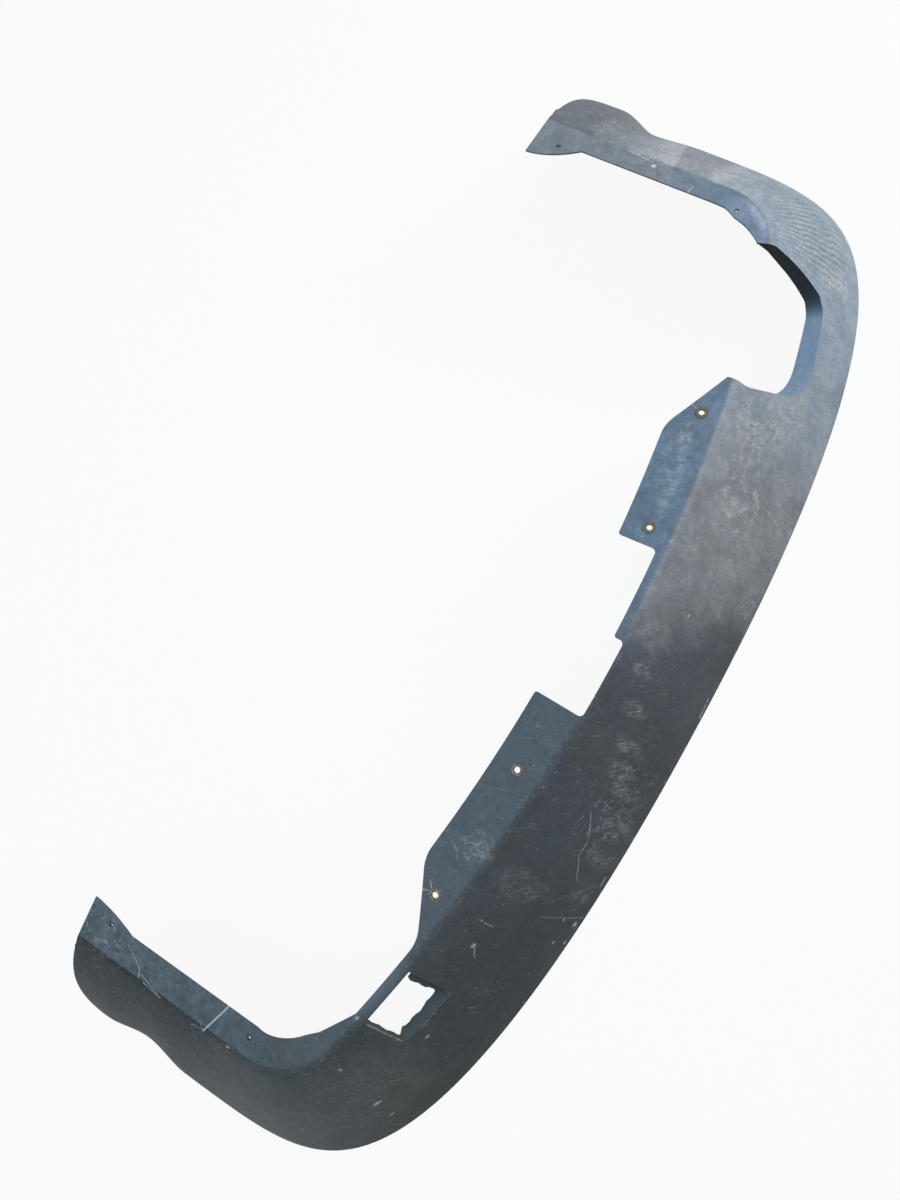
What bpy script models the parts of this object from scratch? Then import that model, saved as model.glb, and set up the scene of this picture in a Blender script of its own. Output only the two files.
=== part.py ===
"""Lower rear bumper cover: a thin moulded U that lies flange side up on its outer rim.

X runs across the cover, +Y points along the arms towards the wheel arches, and Z is up. The exhaust
cut-out is on the +X side and the recess with the broken-out floor on the -X side. Features are laid out
on the developed skin: a distance along the crease from the middle (negative on the -X half) and a
distance down the face from the crease (negative in the flange).
"""

import math

import bmesh
import bpy
from mathutils import Vector

# Section of the moulding, in metres: the face climbs from the rim on the ground to the crease.
WALL = 0.003
CREASE_HEIGHT = 0.215
FACE_BULGE = 0.010
CREASE_SETBACK = 0.009

# Rim in plan: a superellipse whose ends run on as the outer sides of the arms.
RIM_HALF_WIDTH = 0.868
RIM_DEPTH = 0.579
RIM_SIDE_POWER = 2.2
RIM_REAR_POWER = 6.46

# Crease in plan: a wide crown, a corner arc and a straight arm.
CREASE_SET_IN = 0.1455
CREASE_CROWN_RADIUS = 2.5
CREASE_CORNER_RADIUS = 0.100
CREASE_HALF_WIDTH = 0.690

# Arm ends: the edge leans, and its outer corner is rounded into a lobe behind a pinched neck. The right
# arm is sprung outwards a little.
ARM_END = 0.615
ARM_END_LEAN = 0.052
LOBE_LENGTH = 0.060
LOBE_RISE = 0.246
LEFT_LOBE_POWER = 2.0
RIGHT_LOBE_POWER = 2.5
NECK_LENGTH = 0.069
LEFT_LOBE_FLARE = 0.002
RIGHT_LOBE_FLARE = 0.019
LEFT_NECK_PINCH = 0.011
RIGHT_NECK_PINCH = 0.006

# Flange outline: distances along the crease from the middle, and widths in from the crease.
TAB_WIDTH = 0.071
TAB_OUTER_END = 0.347
TAB_CHAMFER = 0.093
LEFT_TAB_INNER_END = 0.073
RIGHT_TAB_INNER_END = 0.1755
TAB_CORNER_RADIUS = 0.004
TAB_CHAMFER_RADIUS = 0.055
GAP_FILLET = 0.007
STRIP_WIDTH = 0.015
STRIP_INNER_END = 0.043
GAP_CUT_BACK = 0.001
MARGIN_WIDTH = 0.010
MARGIN_END = 0.565
LEFT_TURN_START = 0.645
LEFT_TURN_WIDTH = 0.038
LEFT_ARM_FLANGE_WIDTH = 0.0535
RIGHT_TURN_WIDTH = 0.016
RIGHT_TURN_END = 0.705
RIGHT_ARM_FLANGE_WIDTH = 0.042
ARM_FLANGE_SLOPE = 0.40
LEFT_TIP_WIDTH = 0.073
RIGHT_TIP_WIDTH = 0.081
LEFT_TIP_SWELL = 0.003
RIGHT_TIP_SWELL = 0.008
TIP_BEND = 0.075

# Exhaust cut-out: a rounded trapezium through flange and face, with a collar turned inwards.
EXHAUST_START = 0.437
EXHAUST_END = 0.643
EXHAUST_LOW_START = 0.482
EXHAUST_LOW_END = 0.622
EXHAUST_DEPTH_START = 0.161
EXHAUST_DEPTH_END = 0.143
EXHAUST_SHOULDER = 0.024
EXHAUST_SHOULDER_RADIUS = 0.060
EXHAUST_START_RADIUS = 0.058
EXHAUST_END_RADIUS = 0.030
COLLAR_START_DEPTH = 0.038
COLLAR_END_DEPTH = 0.012
COLLAR_SLOPE = 0.20
COLLAR_RUN_OUT = 0.075
COLLAR_RISE = 0.019

# Recess: a rectangle in the face below a strap. Its floor is torn out, which leaves uneven wall edges and
# a strip of floor along the side nearest the middle.
RECESS_START = 0.478
RECESS_LENGTH = 0.088
RECESS_TOP = 0.009
RECESS_HEIGHT = 0.086
RECESS_RADIUS = 0.012
RECESS_DEPTH = 0.020
RECESS_SIDE_DEPTH = 0.008
RECESS_SLOPE = 0.10
FLOOR_STRIP_WIDTH = 0.011
FLOOR_STRIP_DEPTH = 0.0035
FLOOR_THICKNESS = 0.002
TORN_DEPTH = 0.002
TORN_STEP = 0.006
TORN_SLOW_TURN = 0.55
TORN_QUICK_TURN = 1.5

# Fixing holes: place along the crease, distance in from it and size.
OUTER_HOLE_PLACE = 0.378
OUTER_HOLE_INSET = 0.029
LEFT_INNER_HOLE_PLACE = 0.178
RIGHT_INNER_HOLE_PLACE = 0.200
INNER_HOLE_INSET = 0.036
LEFT_CORNER_HOLE_PLACE = 0.759
RIGHT_CORNER_HOLE_PLACE = 0.716
CORNER_HOLE_INSET = 0.033
TIP_HOLE_SET_BACK = 0.040
TIP_HOLE_INSET = 0.050
ARM_HOLE_RADIUS = 0.002

# Steel eyelets in the four holes of the centre flange.
EYELET_BORE_RADIUS = 0.0042
EYELET_BARREL_RADIUS = 0.0054
EYELET_HEAD_RADIUS = 0.0085
EYELET_ROLL_RADIUS = 0.0070
EYELET_SHEET = 0.0008
CLEARANCE = 0.0003

# Colours, surface finish and the angle from which an edge of an eyelet looks sharp.
PLASTIC_COLOUR = (0.062, 0.074, 0.088)
PLASTIC_ROUGHNESS = 0.6
STEEL_COLOUR = (0.20, 0.125, 0.075)
STEEL_ROUGHNESS = 0.75
STEEL_METALLIC = 0.5
SHARP_ANGLE = math.radians(40)

# Mesh steps along the crease, across the section and round arcs.
CROWN_STEPS = 16
CORNER_STEPS = 10
ARM_STEPS = 8
LOBE_STEPS = 8
FACE_STEPS = 7
FILLET_STEPS = 4
ARC_STEPS = 6
EDGE_STEPS = 6
ROUND_STEPS = 24
EDGE_STRETCH = 0.095
WALL_STRETCH = 0.030

# How far blanks and cutters reach past what they trim, and how far joined walls start under the skin.
OVERRUN = 0.015
CUTTER_REACH = 0.060
WALL_TRIM = 0.003
SKIN_COVER = 0.0015
JOIN_DISTANCE = 0.00005


def crease_layout():
    """Corner centre, tangent angle and path lengths of the crease's crown, corner and arm."""
    centre_x = CREASE_HALF_WIDTH - CREASE_CORNER_RADIUS
    reach = CREASE_CROWN_RADIUS - CREASE_CORNER_RADIUS
    centre_y = CREASE_SET_IN + CREASE_CROWN_RADIUS - math.sqrt(reach * reach - centre_x * centre_x)
    turn = math.asin(centre_x / reach)
    crown = CREASE_CROWN_RADIUS * turn
    corner = CREASE_CORNER_RADIUS * (math.pi / 2 - turn)
    return centre_y, turn, crown, crown + corner, crown + corner + ARM_END - centre_y


CORNER_Y, CROWN_TURN, CROWN_END, CORNER_END, PATH_END = crease_layout()
LOBE_START = PATH_END - LOBE_LENGTH


def smooth_step(value):
    value = min(max(value, 0.0), 1.0)
    return value * value * (3 - 2 * value)


def crease_at(along):
    """Plan point of the crease and its outward normal."""
    side = math.copysign(1, along)
    along = abs(along)
    if along <= CROWN_END:
        angle = along / CREASE_CROWN_RADIUS
        centre, radius = Vector((0, CREASE_SET_IN + CREASE_CROWN_RADIUS)), CREASE_CROWN_RADIUS
    else:
        angle = min(CROWN_TURN + (along - CROWN_END) / CREASE_CORNER_RADIUS, math.pi / 2)
        centre, radius = Vector((CREASE_HALF_WIDTH - CREASE_CORNER_RADIUS, CORNER_Y)), CREASE_CORNER_RADIUS
    normal = Vector((math.sin(angle), -math.cos(angle)))
    point = centre + radius * normal + Vector((0, max(along - CORNER_END, 0)))
    return Vector((side * point.x, point.y)), Vector((side * normal.x, normal.y))


def outside_rim(point):
    side = (abs(point.x) / RIM_HALF_WIDTH) ** RIM_SIDE_POWER
    rear = (max(RIM_DEPTH - point.y, 0.0) / RIM_DEPTH) ** RIM_REAR_POWER
    return side + rear > 1


def face_run(along):
    """Level distance from the crease out to the rim, square to the crease."""
    start, normal = crease_at(along)
    low, high = 0.0, RIM_HALF_WIDTH
    for _ in range(40):
        middle = (low + high) / 2
        if outside_rim(start + middle * normal):
            high = middle
        else:
            low = middle
    from_lobe = LOBE_START - abs(along)
    pinch = smooth_step(1 - abs(NECK_LENGTH - from_lobe) / NECK_LENGTH)
    flare = smooth_step(1 - from_lobe / NECK_LENGTH)
    if along < 0:
        return low - LEFT_NECK_PINCH * pinch + LEFT_LOBE_FLARE * flare
    return low - RIGHT_NECK_PINCH * pinch + RIGHT_LOBE_FLARE * flare


def section_point(along, down):
    """Level offset and height of the outer skin in the section at a place along the crease."""
    run = face_run(along)
    chord = math.hypot(run, CREASE_HEIGHT)
    slope = ARM_FLANGE_SLOPE * smooth_step((abs(along) - CROWN_END) / (CORNER_END - CROWN_END))

    def straight(distance):
        if distance < 0:
            return Vector((distance, CREASE_HEIGHT - slope * distance))
        share = distance / chord
        bulge = 4 * FACE_BULGE * share * (1 - share)
        return Vector((share * run + bulge * CREASE_HEIGHT / chord,
                       CREASE_HEIGHT * (1 - share) + bulge * run / chord))

    if abs(down) >= CREASE_SETBACK:
        return straight(down)
    blend = (down + CREASE_SETBACK) / (2 * CREASE_SETBACK)
    inner, outer = straight(-CREASE_SETBACK), straight(CREASE_SETBACK)
    return (1 - blend) ** 2 * inner + 2 * blend * (1 - blend) * straight(0) + blend ** 2 * outer


def skin_point(along, down):
    """Point of the outer skin, measured from the rearmost point of the rim."""
    plan, normal = crease_at(along)
    offset, height = section_point(along, down)
    arm_share = max(abs(along) - CORNER_END, 0) / (PATH_END - CORNER_END)
    lean = ARM_END_LEAN * arm_share * (1 - height / CREASE_HEIGHT)
    return Vector((plan.x + offset * normal.x, plan.y + offset * normal.y + lean, height))


def skin_normal(along, down):
    step = CREASE_SETBACK
    ahead = skin_point(along + step, down) - skin_point(along - step, down)
    below = skin_point(along, down + step) - skin_point(along, down - step)
    return below.cross(ahead).normalized()


def rim_distance(along):
    """Distance down the face at which the skin ends, less where the lobe is rounded off."""
    length = math.hypot(face_run(along), CREASE_HEIGHT)
    share = min(max(0.0, (abs(along) - LOBE_START) / LOBE_LENGTH), 1.0)
    power = LEFT_LOBE_POWER if along < 0 else RIGHT_LOBE_POWER
    return length - LOBE_RISE * (1 - (1 - share ** power) ** (1 / power))


def half_stations():
    """Places along the crease from the middle to the arm's end, close together round the lobe."""
    stations = [CROWN_END * i / CROWN_STEPS for i in range(CROWN_STEPS)]
    stations += [CROWN_END + (CORNER_END - CROWN_END) * i / CORNER_STEPS for i in range(CORNER_STEPS)]
    stations += [CORNER_END + (LOBE_START - CORNER_END) * i / ARM_STEPS for i in range(ARM_STEPS)]
    stations += [LOBE_START + LOBE_LENGTH * math.sin(math.pi / 2 * i / LOBE_STEPS)
                 for i in range(LOBE_STEPS + 1)]
    return stations


def section_rows(along):
    """Distances from the rim over the face and the crease fillet to the edge of the untrimmed flange."""
    rim = rim_distance(along)
    rows = [rim + (CREASE_SETBACK - rim) * i / FACE_STEPS for i in range(FACE_STEPS)]
    rows += [CREASE_SETBACK * (1 - 2 * i / FILLET_STEPS) for i in range(FILLET_STEPS + 1)]
    widest = max(TAB_WIDTH, LEFT_TIP_WIDTH, RIGHT_TIP_WIDTH, LEFT_ARM_FLANGE_WIDTH, RIGHT_ARM_FLANGE_WIDTH)
    return rows + [-min(widest + OVERRUN, CREASE_CORNER_RADIUS - OVERRUN)]


def skin_grid():
    half = half_stations()
    stations = [-along for along in reversed(half[1:])] + half
    return [[skin_point(along, down) for down in section_rows(along)] for along in stations]


def grid_normals(grid):
    """Outward normals of the skin, from the neighbours of each grid point."""
    last_column, last_row = len(grid) - 1, len(grid[0]) - 1
    normals = []
    for i, column in enumerate(grid):
        line = []
        for j in range(len(column)):
            along = grid[min(i + 1, last_column)][j] - grid[max(i - 1, 0)][j]
            across = column[min(j + 1, last_row)] - column[max(j - 1, 0)]
            line.append(along.cross(across).normalized())
        normals.append(line)
    return normals


def shell_mesh(grid):
    """Closed shell of one wall thickness under the skin, level with the ground along the rim."""
    mesh = bmesh.new()
    outer = [[mesh.verts.new(point) for point in column] for column in grid]
    inner = []
    for column, normals in zip(grid, grid_normals(grid)):
        backs = []
        for point, normal in zip(column, normals):
            back = point - WALL * normal
            if back.z < 0:
                level = Vector((normal.x, normal.y, 0)).normalized()
                back = point - level * WALL / level.dot(normal)
            backs.append(mesh.verts.new(back))
        inner.append(backs)
    columns, rows = len(grid), len(grid[0])
    for i in range(columns - 1):
        for j in range(rows - 1):
            mesh.faces.new((outer[i][j], outer[i + 1][j], outer[i + 1][j + 1], outer[i][j + 1]))
            mesh.faces.new((inner[i][j], inner[i][j + 1], inner[i + 1][j + 1], inner[i + 1][j]))
        for j in (0, rows - 1):
            mesh.faces.new((outer[i][j], outer[i + 1][j], inner[i + 1][j], inner[i][j]))
    for j in range(rows - 1):
        for i in (0, columns - 1):
            mesh.faces.new((outer[i][j], outer[i][j + 1], inner[i][j + 1], inner[i][j]))
    bmesh.ops.recalc_face_normals(mesh, faces=mesh.faces)
    return mesh


def rounded_path(corners):
    """Polyline through corners given as (along, down, radius), each rounded by its radius."""
    points = [Vector(corners[0][:2])]
    for before, here, after in zip(corners, corners[1:], corners[2:]):
        corner, radius = Vector(here[:2]), here[2]
        back = (Vector(before[:2]) - corner).normalized()
        ahead = (Vector(after[:2]) - corner).normalized()
        half = back.angle(ahead) / 2
        middle = corner + (back + ahead).normalized() * radius / math.sin(half)
        first = corner + back * radius / math.tan(half) - middle
        last = corner + ahead * radius / math.tan(half) - middle
        sweep = first.angle_signed(last)
        for step in range(ARC_STEPS + 1):
            turn = -sweep * step / ARC_STEPS
            points.append(middle + Vector((first.x * math.cos(turn) - first.y * math.sin(turn),
                                           first.x * math.sin(turn) + first.y * math.cos(turn))))
    return points + [Vector(corners[-1][:2])]


def split_path(points, longest):
    """The same polyline with its long stretches divided, so that it follows the curved skin."""
    fine = [points[0]]
    for start, end in zip(points, points[1:]):
        count = max(1, math.ceil((end - start).length / longest))
        fine += [start.lerp(end, i / count) for i in range(1, count + 1)]
    return fine


def path_sides(points):
    """Unit vectors square to a polyline, to the left of its direction."""
    sides = []
    for i in range(len(points)):
        ahead = points[min(i + 1, len(points) - 1)] - points[max(i - 1, 0)]
        sides.append(Vector((-ahead.y, ahead.x)).normalized())
    return sides


def loft_mesh(sections):
    """Closed body through a row of like polygons, with both ends capped."""
    mesh = bmesh.new()
    rings = [[mesh.verts.new(point) for point in section] for section in sections]
    count = len(rings[0])
    for ring, following in zip(rings, rings[1:]):
        for k in range(count):
            mesh.faces.new((ring[k], ring[(k + 1) % count], following[(k + 1) % count], following[k]))
    mesh.faces.new(rings[0])
    mesh.faces.new(rings[-1])
    bmesh.ops.recalc_face_normals(mesh, faces=mesh.faces)
    return mesh


def prism_mesh(outline, direction, reach):
    """Straight prism through an outline on the skin, to both sides of it along a direction."""
    middle = sum((point.dot(direction) for point in outline)) / len(outline)
    flat = [point + direction * (middle - point.dot(direction)) for point in outline]
    return loft_mesh([[point - reach * direction for point in flat],
                      [point + reach * direction for point in flat]])


def edge_points(side, stretch):
    """Plan points of the flange edge along a stretch of (along, width) pairs."""
    points = [skin_point(side * place.x, -place.y) for place in split_path(stretch, EDGE_STRETCH)]
    return [Vector((point.x, point.y, CREASE_HEIGHT)) for point in points]


def turn_edge(start, end):
    return [start.lerp(end, i / EDGE_STEPS) for i in range(EDGE_STEPS + 1)]


def left_edge():
    """Flange edge from the middle to the left arm: gap, tab, margin over the recess and corner."""
    turn = turn_edge(Vector((LEFT_TURN_START, LEFT_TURN_WIDTH)), Vector((CORNER_END, LEFT_ARM_FLANGE_WIDTH)))
    return rounded_path([(0, -GAP_CUT_BACK), (LEFT_TAB_INNER_END, -GAP_CUT_BACK, GAP_FILLET),
                         (LEFT_TAB_INNER_END, TAB_WIDTH, TAB_CORNER_RADIUS),
                         (TAB_OUTER_END, TAB_WIDTH, TAB_CHAMFER_RADIUS),
                         (TAB_OUTER_END + TAB_CHAMFER, MARGIN_WIDTH, TAB_CHAMFER_RADIUS),
                         (MARGIN_END, MARGIN_WIDTH)]) + turn


def right_edge():
    """Flange edge from the middle to the right arm: gap, strip, tab, exhaust cut-out and corner."""
    turn = turn_edge(Vector((EXHAUST_END - OVERRUN, RIGHT_TURN_WIDTH)),
                     Vector((RIGHT_TURN_END, RIGHT_ARM_FLANGE_WIDTH)))
    flange = rounded_path([(0, -GAP_CUT_BACK), (STRIP_INNER_END, -GAP_CUT_BACK, GAP_FILLET),
                           (STRIP_INNER_END, STRIP_WIDTH, TAB_CORNER_RADIUS),
                           (RIGHT_TAB_INNER_END, STRIP_WIDTH, GAP_FILLET),
                           (RIGHT_TAB_INNER_END, TAB_WIDTH, TAB_CORNER_RADIUS),
                           (TAB_OUTER_END, TAB_WIDTH, TAB_CHAMFER_RADIUS),
                           (TAB_OUTER_END + TAB_CHAMFER, MARGIN_WIDTH)])
    return flange[1:] + turn


def tip_edge(arm_width, tip_width, swell):
    """Flange edge where it swells and widens to the arm's tip, carried on past the end of the arm."""
    bend, tip = Vector((PATH_END - TIP_BEND, arm_width)), Vector((PATH_END, tip_width))
    edge = []
    for step in range(EDGE_STEPS + 1):
        share = step / EDGE_STEPS
        edge.append(bend.lerp(tip, share) + Vector((0, 4 * swell * share * (1 - share))))
    return edge + [bend.lerp(tip, 1 + OVERRUN / TIP_BEND)]


def flange_trim_mesh():
    """Cutter for everything inside the flange's edge, from tip to tip."""
    left_tip = tip_edge(LEFT_ARM_FLANGE_WIDTH, LEFT_TIP_WIDTH, LEFT_TIP_SWELL)
    right_tip = tip_edge(RIGHT_ARM_FLANGE_WIDTH, RIGHT_TIP_WIDTH, RIGHT_TIP_SWELL)
    left = edge_points(-1, left_edge() + left_tip)
    right = edge_points(1, right_edge() + right_tip)
    beyond = [point + Vector((0, ARM_END, 0)) for point in (right[-1], left[-1])]
    return prism_mesh(left[::-1] + right + beyond, Vector((0, 0, 1)), CUTTER_REACH)


def exhaust_path():
    return [(EXHAUST_START, 0), (EXHAUST_START, EXHAUST_SHOULDER, EXHAUST_SHOULDER_RADIUS),
            (EXHAUST_LOW_START, EXHAUST_DEPTH_START, EXHAUST_START_RADIUS),
            (EXHAUST_LOW_END, EXHAUST_DEPTH_END, EXHAUST_END_RADIUS), (EXHAUST_END, -COLLAR_RISE)]


def recess_path():
    start, end = -RECESS_START, -RECESS_START - RECESS_LENGTH
    bottom = RECESS_TOP + RECESS_HEIGHT
    return [(end, RECESS_TOP), (end, bottom, RECESS_RADIUS), (start, bottom, RECESS_RADIUS),
            (start, RECESS_TOP)]


def opening_frames(path, longest, direction):
    """Skin points round an opening, each with the level way into the opening."""
    points = split_path(rounded_path(path), longest)
    frames = []
    for place, side in zip(points, path_sides(points)):
        edge = skin_point(*place)
        inward = edge - skin_point(*(place + WALL * side))
        frames.append((edge, (inward - inward.dot(direction) * direction).normalized()))
    return frames, path_lengths(points)


def path_lengths(points):
    lengths = [0.0]
    for start, end in zip(points, points[1:]):
        lengths.append(lengths[-1] + (end - start).length)
    return lengths


def opening_mesh(frames, slope, direction):
    """Cutter for an opening: straight above the skin and closing in by a slope below it."""
    heights = [edge.dot(direction) for edge, _ in frames]
    top, foot = max(heights) + OVERRUN, min(heights) - CUTTER_REACH
    above = [edge + (top - height) * direction for (edge, _), height in zip(frames, heights)]
    below = [edge + (height - foot) * (slope * inward - direction)
             for (edge, inward), height in zip(frames, heights)]
    return loft_mesh([above, [edge for edge, _ in frames], below])


def wall_mesh(frames, depths, slope, direction):
    """Wall down from the skin round an opening, with spare thickness that the opening's cutter trims."""
    sections = []
    for (edge, inward), depth in zip(frames, depths):
        inner, outer = edge + WALL_TRIM * inward, edge - WALL * inward
        start, end = -SKIN_COVER * direction, depth * (slope * inward - direction)
        sections.append([inner + start, outer + start, outer + end, inner + end])
    return loft_mesh(sections)


def add_exhaust(cover):
    """Exhaust cut-out with a collar from the tab, growing shallower up to the end of the arm's flange."""
    direction = skin_normal((EXHAUST_START + EXHAUST_END) / 2, EXHAUST_DEPTH_END / 2)
    frames, lengths = opening_frames(exhaust_path(), WALL_STRETCH, direction)
    depths = []
    for length in lengths:
        depth = COLLAR_START_DEPTH + (COLLAR_END_DEPTH - COLLAR_START_DEPTH) * length / lengths[-1]
        depths.append(WALL + depth * smooth_step(length / COLLAR_RUN_OUT))
    shape_with(cover, "UNION", "exhaust_collar", wall_mesh(frames, depths, COLLAR_SLOPE, direction))
    past_edge = -MARGIN_WIDTH - OVERRUN
    closing = [(skin_point(along, past_edge), Vector()) for along in (EXHAUST_END, EXHAUST_START)]
    cutter = opening_mesh(frames + closing, COLLAR_SLOPE, direction)
    shape_with(cover, "DIFFERENCE", "exhaust_opening", cutter)


def torn_offset(length):
    """Uneven offset of a torn edge at a distance along it."""
    turn = length / TORN_STEP
    return TORN_DEPTH * (math.sin(TORN_SLOW_TURN * turn) + math.sin(TORN_QUICK_TURN * turn)) / 2


def floor_strip_mesh(frames, lengths, direction):
    """Strip of floor left along the recess wall nearest the middle, clear of the strap."""
    sections = []
    for (edge, inward), length in zip(frames, lengths):
        if TORN_STEP < lengths[-1] - length < RECESS_HEIGHT - RECESS_RADIUS:
            root = edge - FLOOR_STRIP_DEPTH * direction - WALL / 2 * inward
            tip = root + (FLOOR_STRIP_WIDTH + torn_offset(length)) * inward
            under = -FLOOR_THICKNESS * direction
            sections.append([root, tip, tip + under, root + under])
    return loft_mesh(sections)


def add_recess(cover):
    """Recess with three walls, deepest along its foot and torn along their free edge."""
    direction = skin_normal(-RECESS_START - RECESS_LENGTH / 2, RECESS_TOP + RECESS_HEIGHT / 2)
    frames, lengths = opening_frames(recess_path(), TORN_STEP, direction)
    depths = []
    for length in lengths:
        from_end = min(length, lengths[-1] - length)
        share = smooth_step((from_end - RECESS_HEIGHT) / RECESS_RADIUS + 1)
        depths.append(RECESS_SIDE_DEPTH + (RECESS_DEPTH - RECESS_SIDE_DEPTH) * share + torn_offset(length))
    shape_with(cover, "UNION", "recess_walls", wall_mesh(frames, depths, RECESS_SLOPE, direction))
    shape_with(cover, "DIFFERENCE", "recess_opening", opening_mesh(frames, RECESS_SLOPE, direction))
    shape_with(cover, "UNION", "floor_strip", floor_strip_mesh(frames, lengths, direction))


def turned_mesh(profile):
    """Body turned about Z from a closed (radius, height) profile."""
    mesh = bmesh.new()
    rings = []
    for step in range(ROUND_STEPS):
        angle = 2 * math.pi * step / ROUND_STEPS
        rings.append([mesh.verts.new((radius * math.cos(angle), radius * math.sin(angle), height))
                      for radius, height in profile])
    for ring, following in zip(rings, rings[1:] + rings[:1]):
        for k in range(len(profile)):
            after = (k + 1) % len(profile)
            mesh.faces.new((ring[k], following[k], following[after], ring[after]))
    bmesh.ops.recalc_face_normals(mesh, faces=mesh.faces)
    return mesh


def eyelet_mesh():
    """Flanged sleeve clinched round the wall, whose outer skin is at height 0."""
    top = CLEARANCE + EYELET_SHEET
    roll = -WALL - CLEARANCE
    foot = roll - EYELET_SHEET
    return turned_mesh([(EYELET_BORE_RADIUS, foot), (EYELET_ROLL_RADIUS, foot),
                        (EYELET_ROLL_RADIUS, roll), (EYELET_BARREL_RADIUS, roll),
                        (EYELET_BARREL_RADIUS, CLEARANCE), (EYELET_HEAD_RADIUS, CLEARANCE),
                        (EYELET_HEAD_RADIUS, top), (EYELET_BORE_RADIUS, top)])


def drill_mesh(radius):
    circle = [Vector((radius * math.cos(2 * math.pi * i / ROUND_STEPS),
                      radius * math.sin(2 * math.pi * i / ROUND_STEPS), 0)) for i in range(ROUND_STEPS)]
    return prism_mesh(circle, Vector((0, 0, 1)), OVERRUN)


def flange_holes():
    """Eyelet names with their holes' places on the skin."""
    return {
        "flange_eyelet_left_outer": (-OUTER_HOLE_PLACE, -OUTER_HOLE_INSET),
        "flange_eyelet_left_inner": (-LEFT_INNER_HOLE_PLACE, -INNER_HOLE_INSET),
        "flange_eyelet_right_inner": (RIGHT_INNER_HOLE_PLACE, -INNER_HOLE_INSET),
        "flange_eyelet_right_outer": (OUTER_HOLE_PLACE, -OUTER_HOLE_INSET),
    }


def arm_holes():
    tip = PATH_END - TIP_HOLE_SET_BACK
    return [(-tip, -TIP_HOLE_INSET), (-LEFT_CORNER_HOLE_PLACE, -CORNER_HOLE_INSET),
            (RIGHT_CORNER_HOLE_PLACE, -CORNER_HOLE_INSET), (tip, -TIP_HOLE_INSET)]


def clear_scene():
    for item in list(bpy.data.objects):
        bpy.data.objects.remove(item, do_unlink=True)


def make_material(name, colour, roughness, metallic):
    material = bpy.data.materials.new(name)
    material.use_nodes = True
    shader = material.node_tree.nodes["Principled BSDF"]
    shader.inputs["Base Color"].default_value = (*colour, 1)
    shader.inputs["Roughness"].default_value = roughness
    shader.inputs["Metallic"].default_value = metallic
    return material


def add_object(name, mesh, parent, location=(0, 0, 0), material=None):
    data = bpy.data.meshes.new(name)
    mesh.to_mesh(data)
    mesh.free()
    part = bpy.data.objects.new(name, data)
    bpy.context.scene.collection.objects.link(part)
    part.parent = parent
    part.location = location
    if material:
        data.materials.append(material)
    return part


def shape_with(part, operation, name, mesh, location=(0, 0, 0)):
    """Cut a tool out of a part, or join it on, keeping the tool as a hidden guide."""
    tool = add_object(name, mesh, part.parent, location)
    tool.hide_render = True
    tool.display_type = "WIRE"
    step = part.modifiers.new(name, "BOOLEAN")
    step.operation = operation
    step.object = tool


def add_moulding(parent):
    plastic = make_material("grained_plastic", PLASTIC_COLOUR, PLASTIC_ROUGHNESS, 0)
    cover = add_object("cover_moulding", shell_mesh(skin_grid()), parent, material=plastic)
    shape_with(cover, "DIFFERENCE", "flange_trim", flange_trim_mesh())
    add_exhaust(cover)
    add_recess(cover)
    for name, place in flange_holes().items():
        drill = drill_mesh(EYELET_BARREL_RADIUS + CLEARANCE)
        shape_with(cover, "DIFFERENCE", name + "_hole", drill, skin_point(*place))
    for number, place in enumerate(arm_holes(), 1):
        shape_with(cover, "DIFFERENCE", f"arm_hole_{number}", drill_mesh(ARM_HOLE_RADIUS), skin_point(*place))
    weld = cover.modifiers.new("weld", "WELD")
    weld.merge_threshold = JOIN_DISTANCE


def add_eyelets(parent):
    rusty_steel = make_material("rusty_steel", STEEL_COLOUR, STEEL_ROUGHNESS, STEEL_METALLIC)
    for name, place in flange_holes().items():
        eyelet = add_object(name, eyelet_mesh(), parent, skin_point(*place), rusty_steel)
        eyelet.data.shade_smooth()
        eyelet.data.set_sharp_from_angle(angle=SHARP_ANGLE)


def build():
    clear_scene()
    origin = bpy.data.objects.new("bumper_cover", None)
    bpy.context.scene.collection.objects.link(origin)
    points = [point for column in skin_grid() for point in column]
    origin.location.x = -(min(point.x for point in points) + max(point.x for point in points)) / 2
    origin.location.y = -(min(point.y for point in points) + max(point.y for point in points)) / 2
    add_moulding(origin)
    add_eyelets(origin)


build()
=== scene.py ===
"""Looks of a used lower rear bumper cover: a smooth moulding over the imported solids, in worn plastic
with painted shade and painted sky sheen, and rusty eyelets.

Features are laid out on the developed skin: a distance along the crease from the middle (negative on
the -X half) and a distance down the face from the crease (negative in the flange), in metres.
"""

import math
from functools import reduce

import bmesh
import bpy
from mathutils import Matrix, Vector


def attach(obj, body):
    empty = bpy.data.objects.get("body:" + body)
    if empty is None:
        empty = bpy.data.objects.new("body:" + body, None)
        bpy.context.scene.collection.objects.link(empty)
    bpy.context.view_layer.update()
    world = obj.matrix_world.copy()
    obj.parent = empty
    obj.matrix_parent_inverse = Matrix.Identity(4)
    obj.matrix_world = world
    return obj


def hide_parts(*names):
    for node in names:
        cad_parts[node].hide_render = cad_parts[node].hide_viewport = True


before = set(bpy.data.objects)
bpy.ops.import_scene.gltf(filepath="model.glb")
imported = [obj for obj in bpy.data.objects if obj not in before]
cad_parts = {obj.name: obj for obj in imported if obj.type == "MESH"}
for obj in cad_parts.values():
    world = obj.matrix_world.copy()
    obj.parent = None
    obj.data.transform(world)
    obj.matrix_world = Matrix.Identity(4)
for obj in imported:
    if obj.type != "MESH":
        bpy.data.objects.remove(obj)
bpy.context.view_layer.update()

# Shape of the moulding, as in the solids apart from the collar's end and finer torn edges.
ORIGIN = Vector((-0.0085, -0.319966, 0))
WALL = 0.003
CREASE_HEIGHT = 0.215
FACE_BULGE = 0.010
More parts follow.
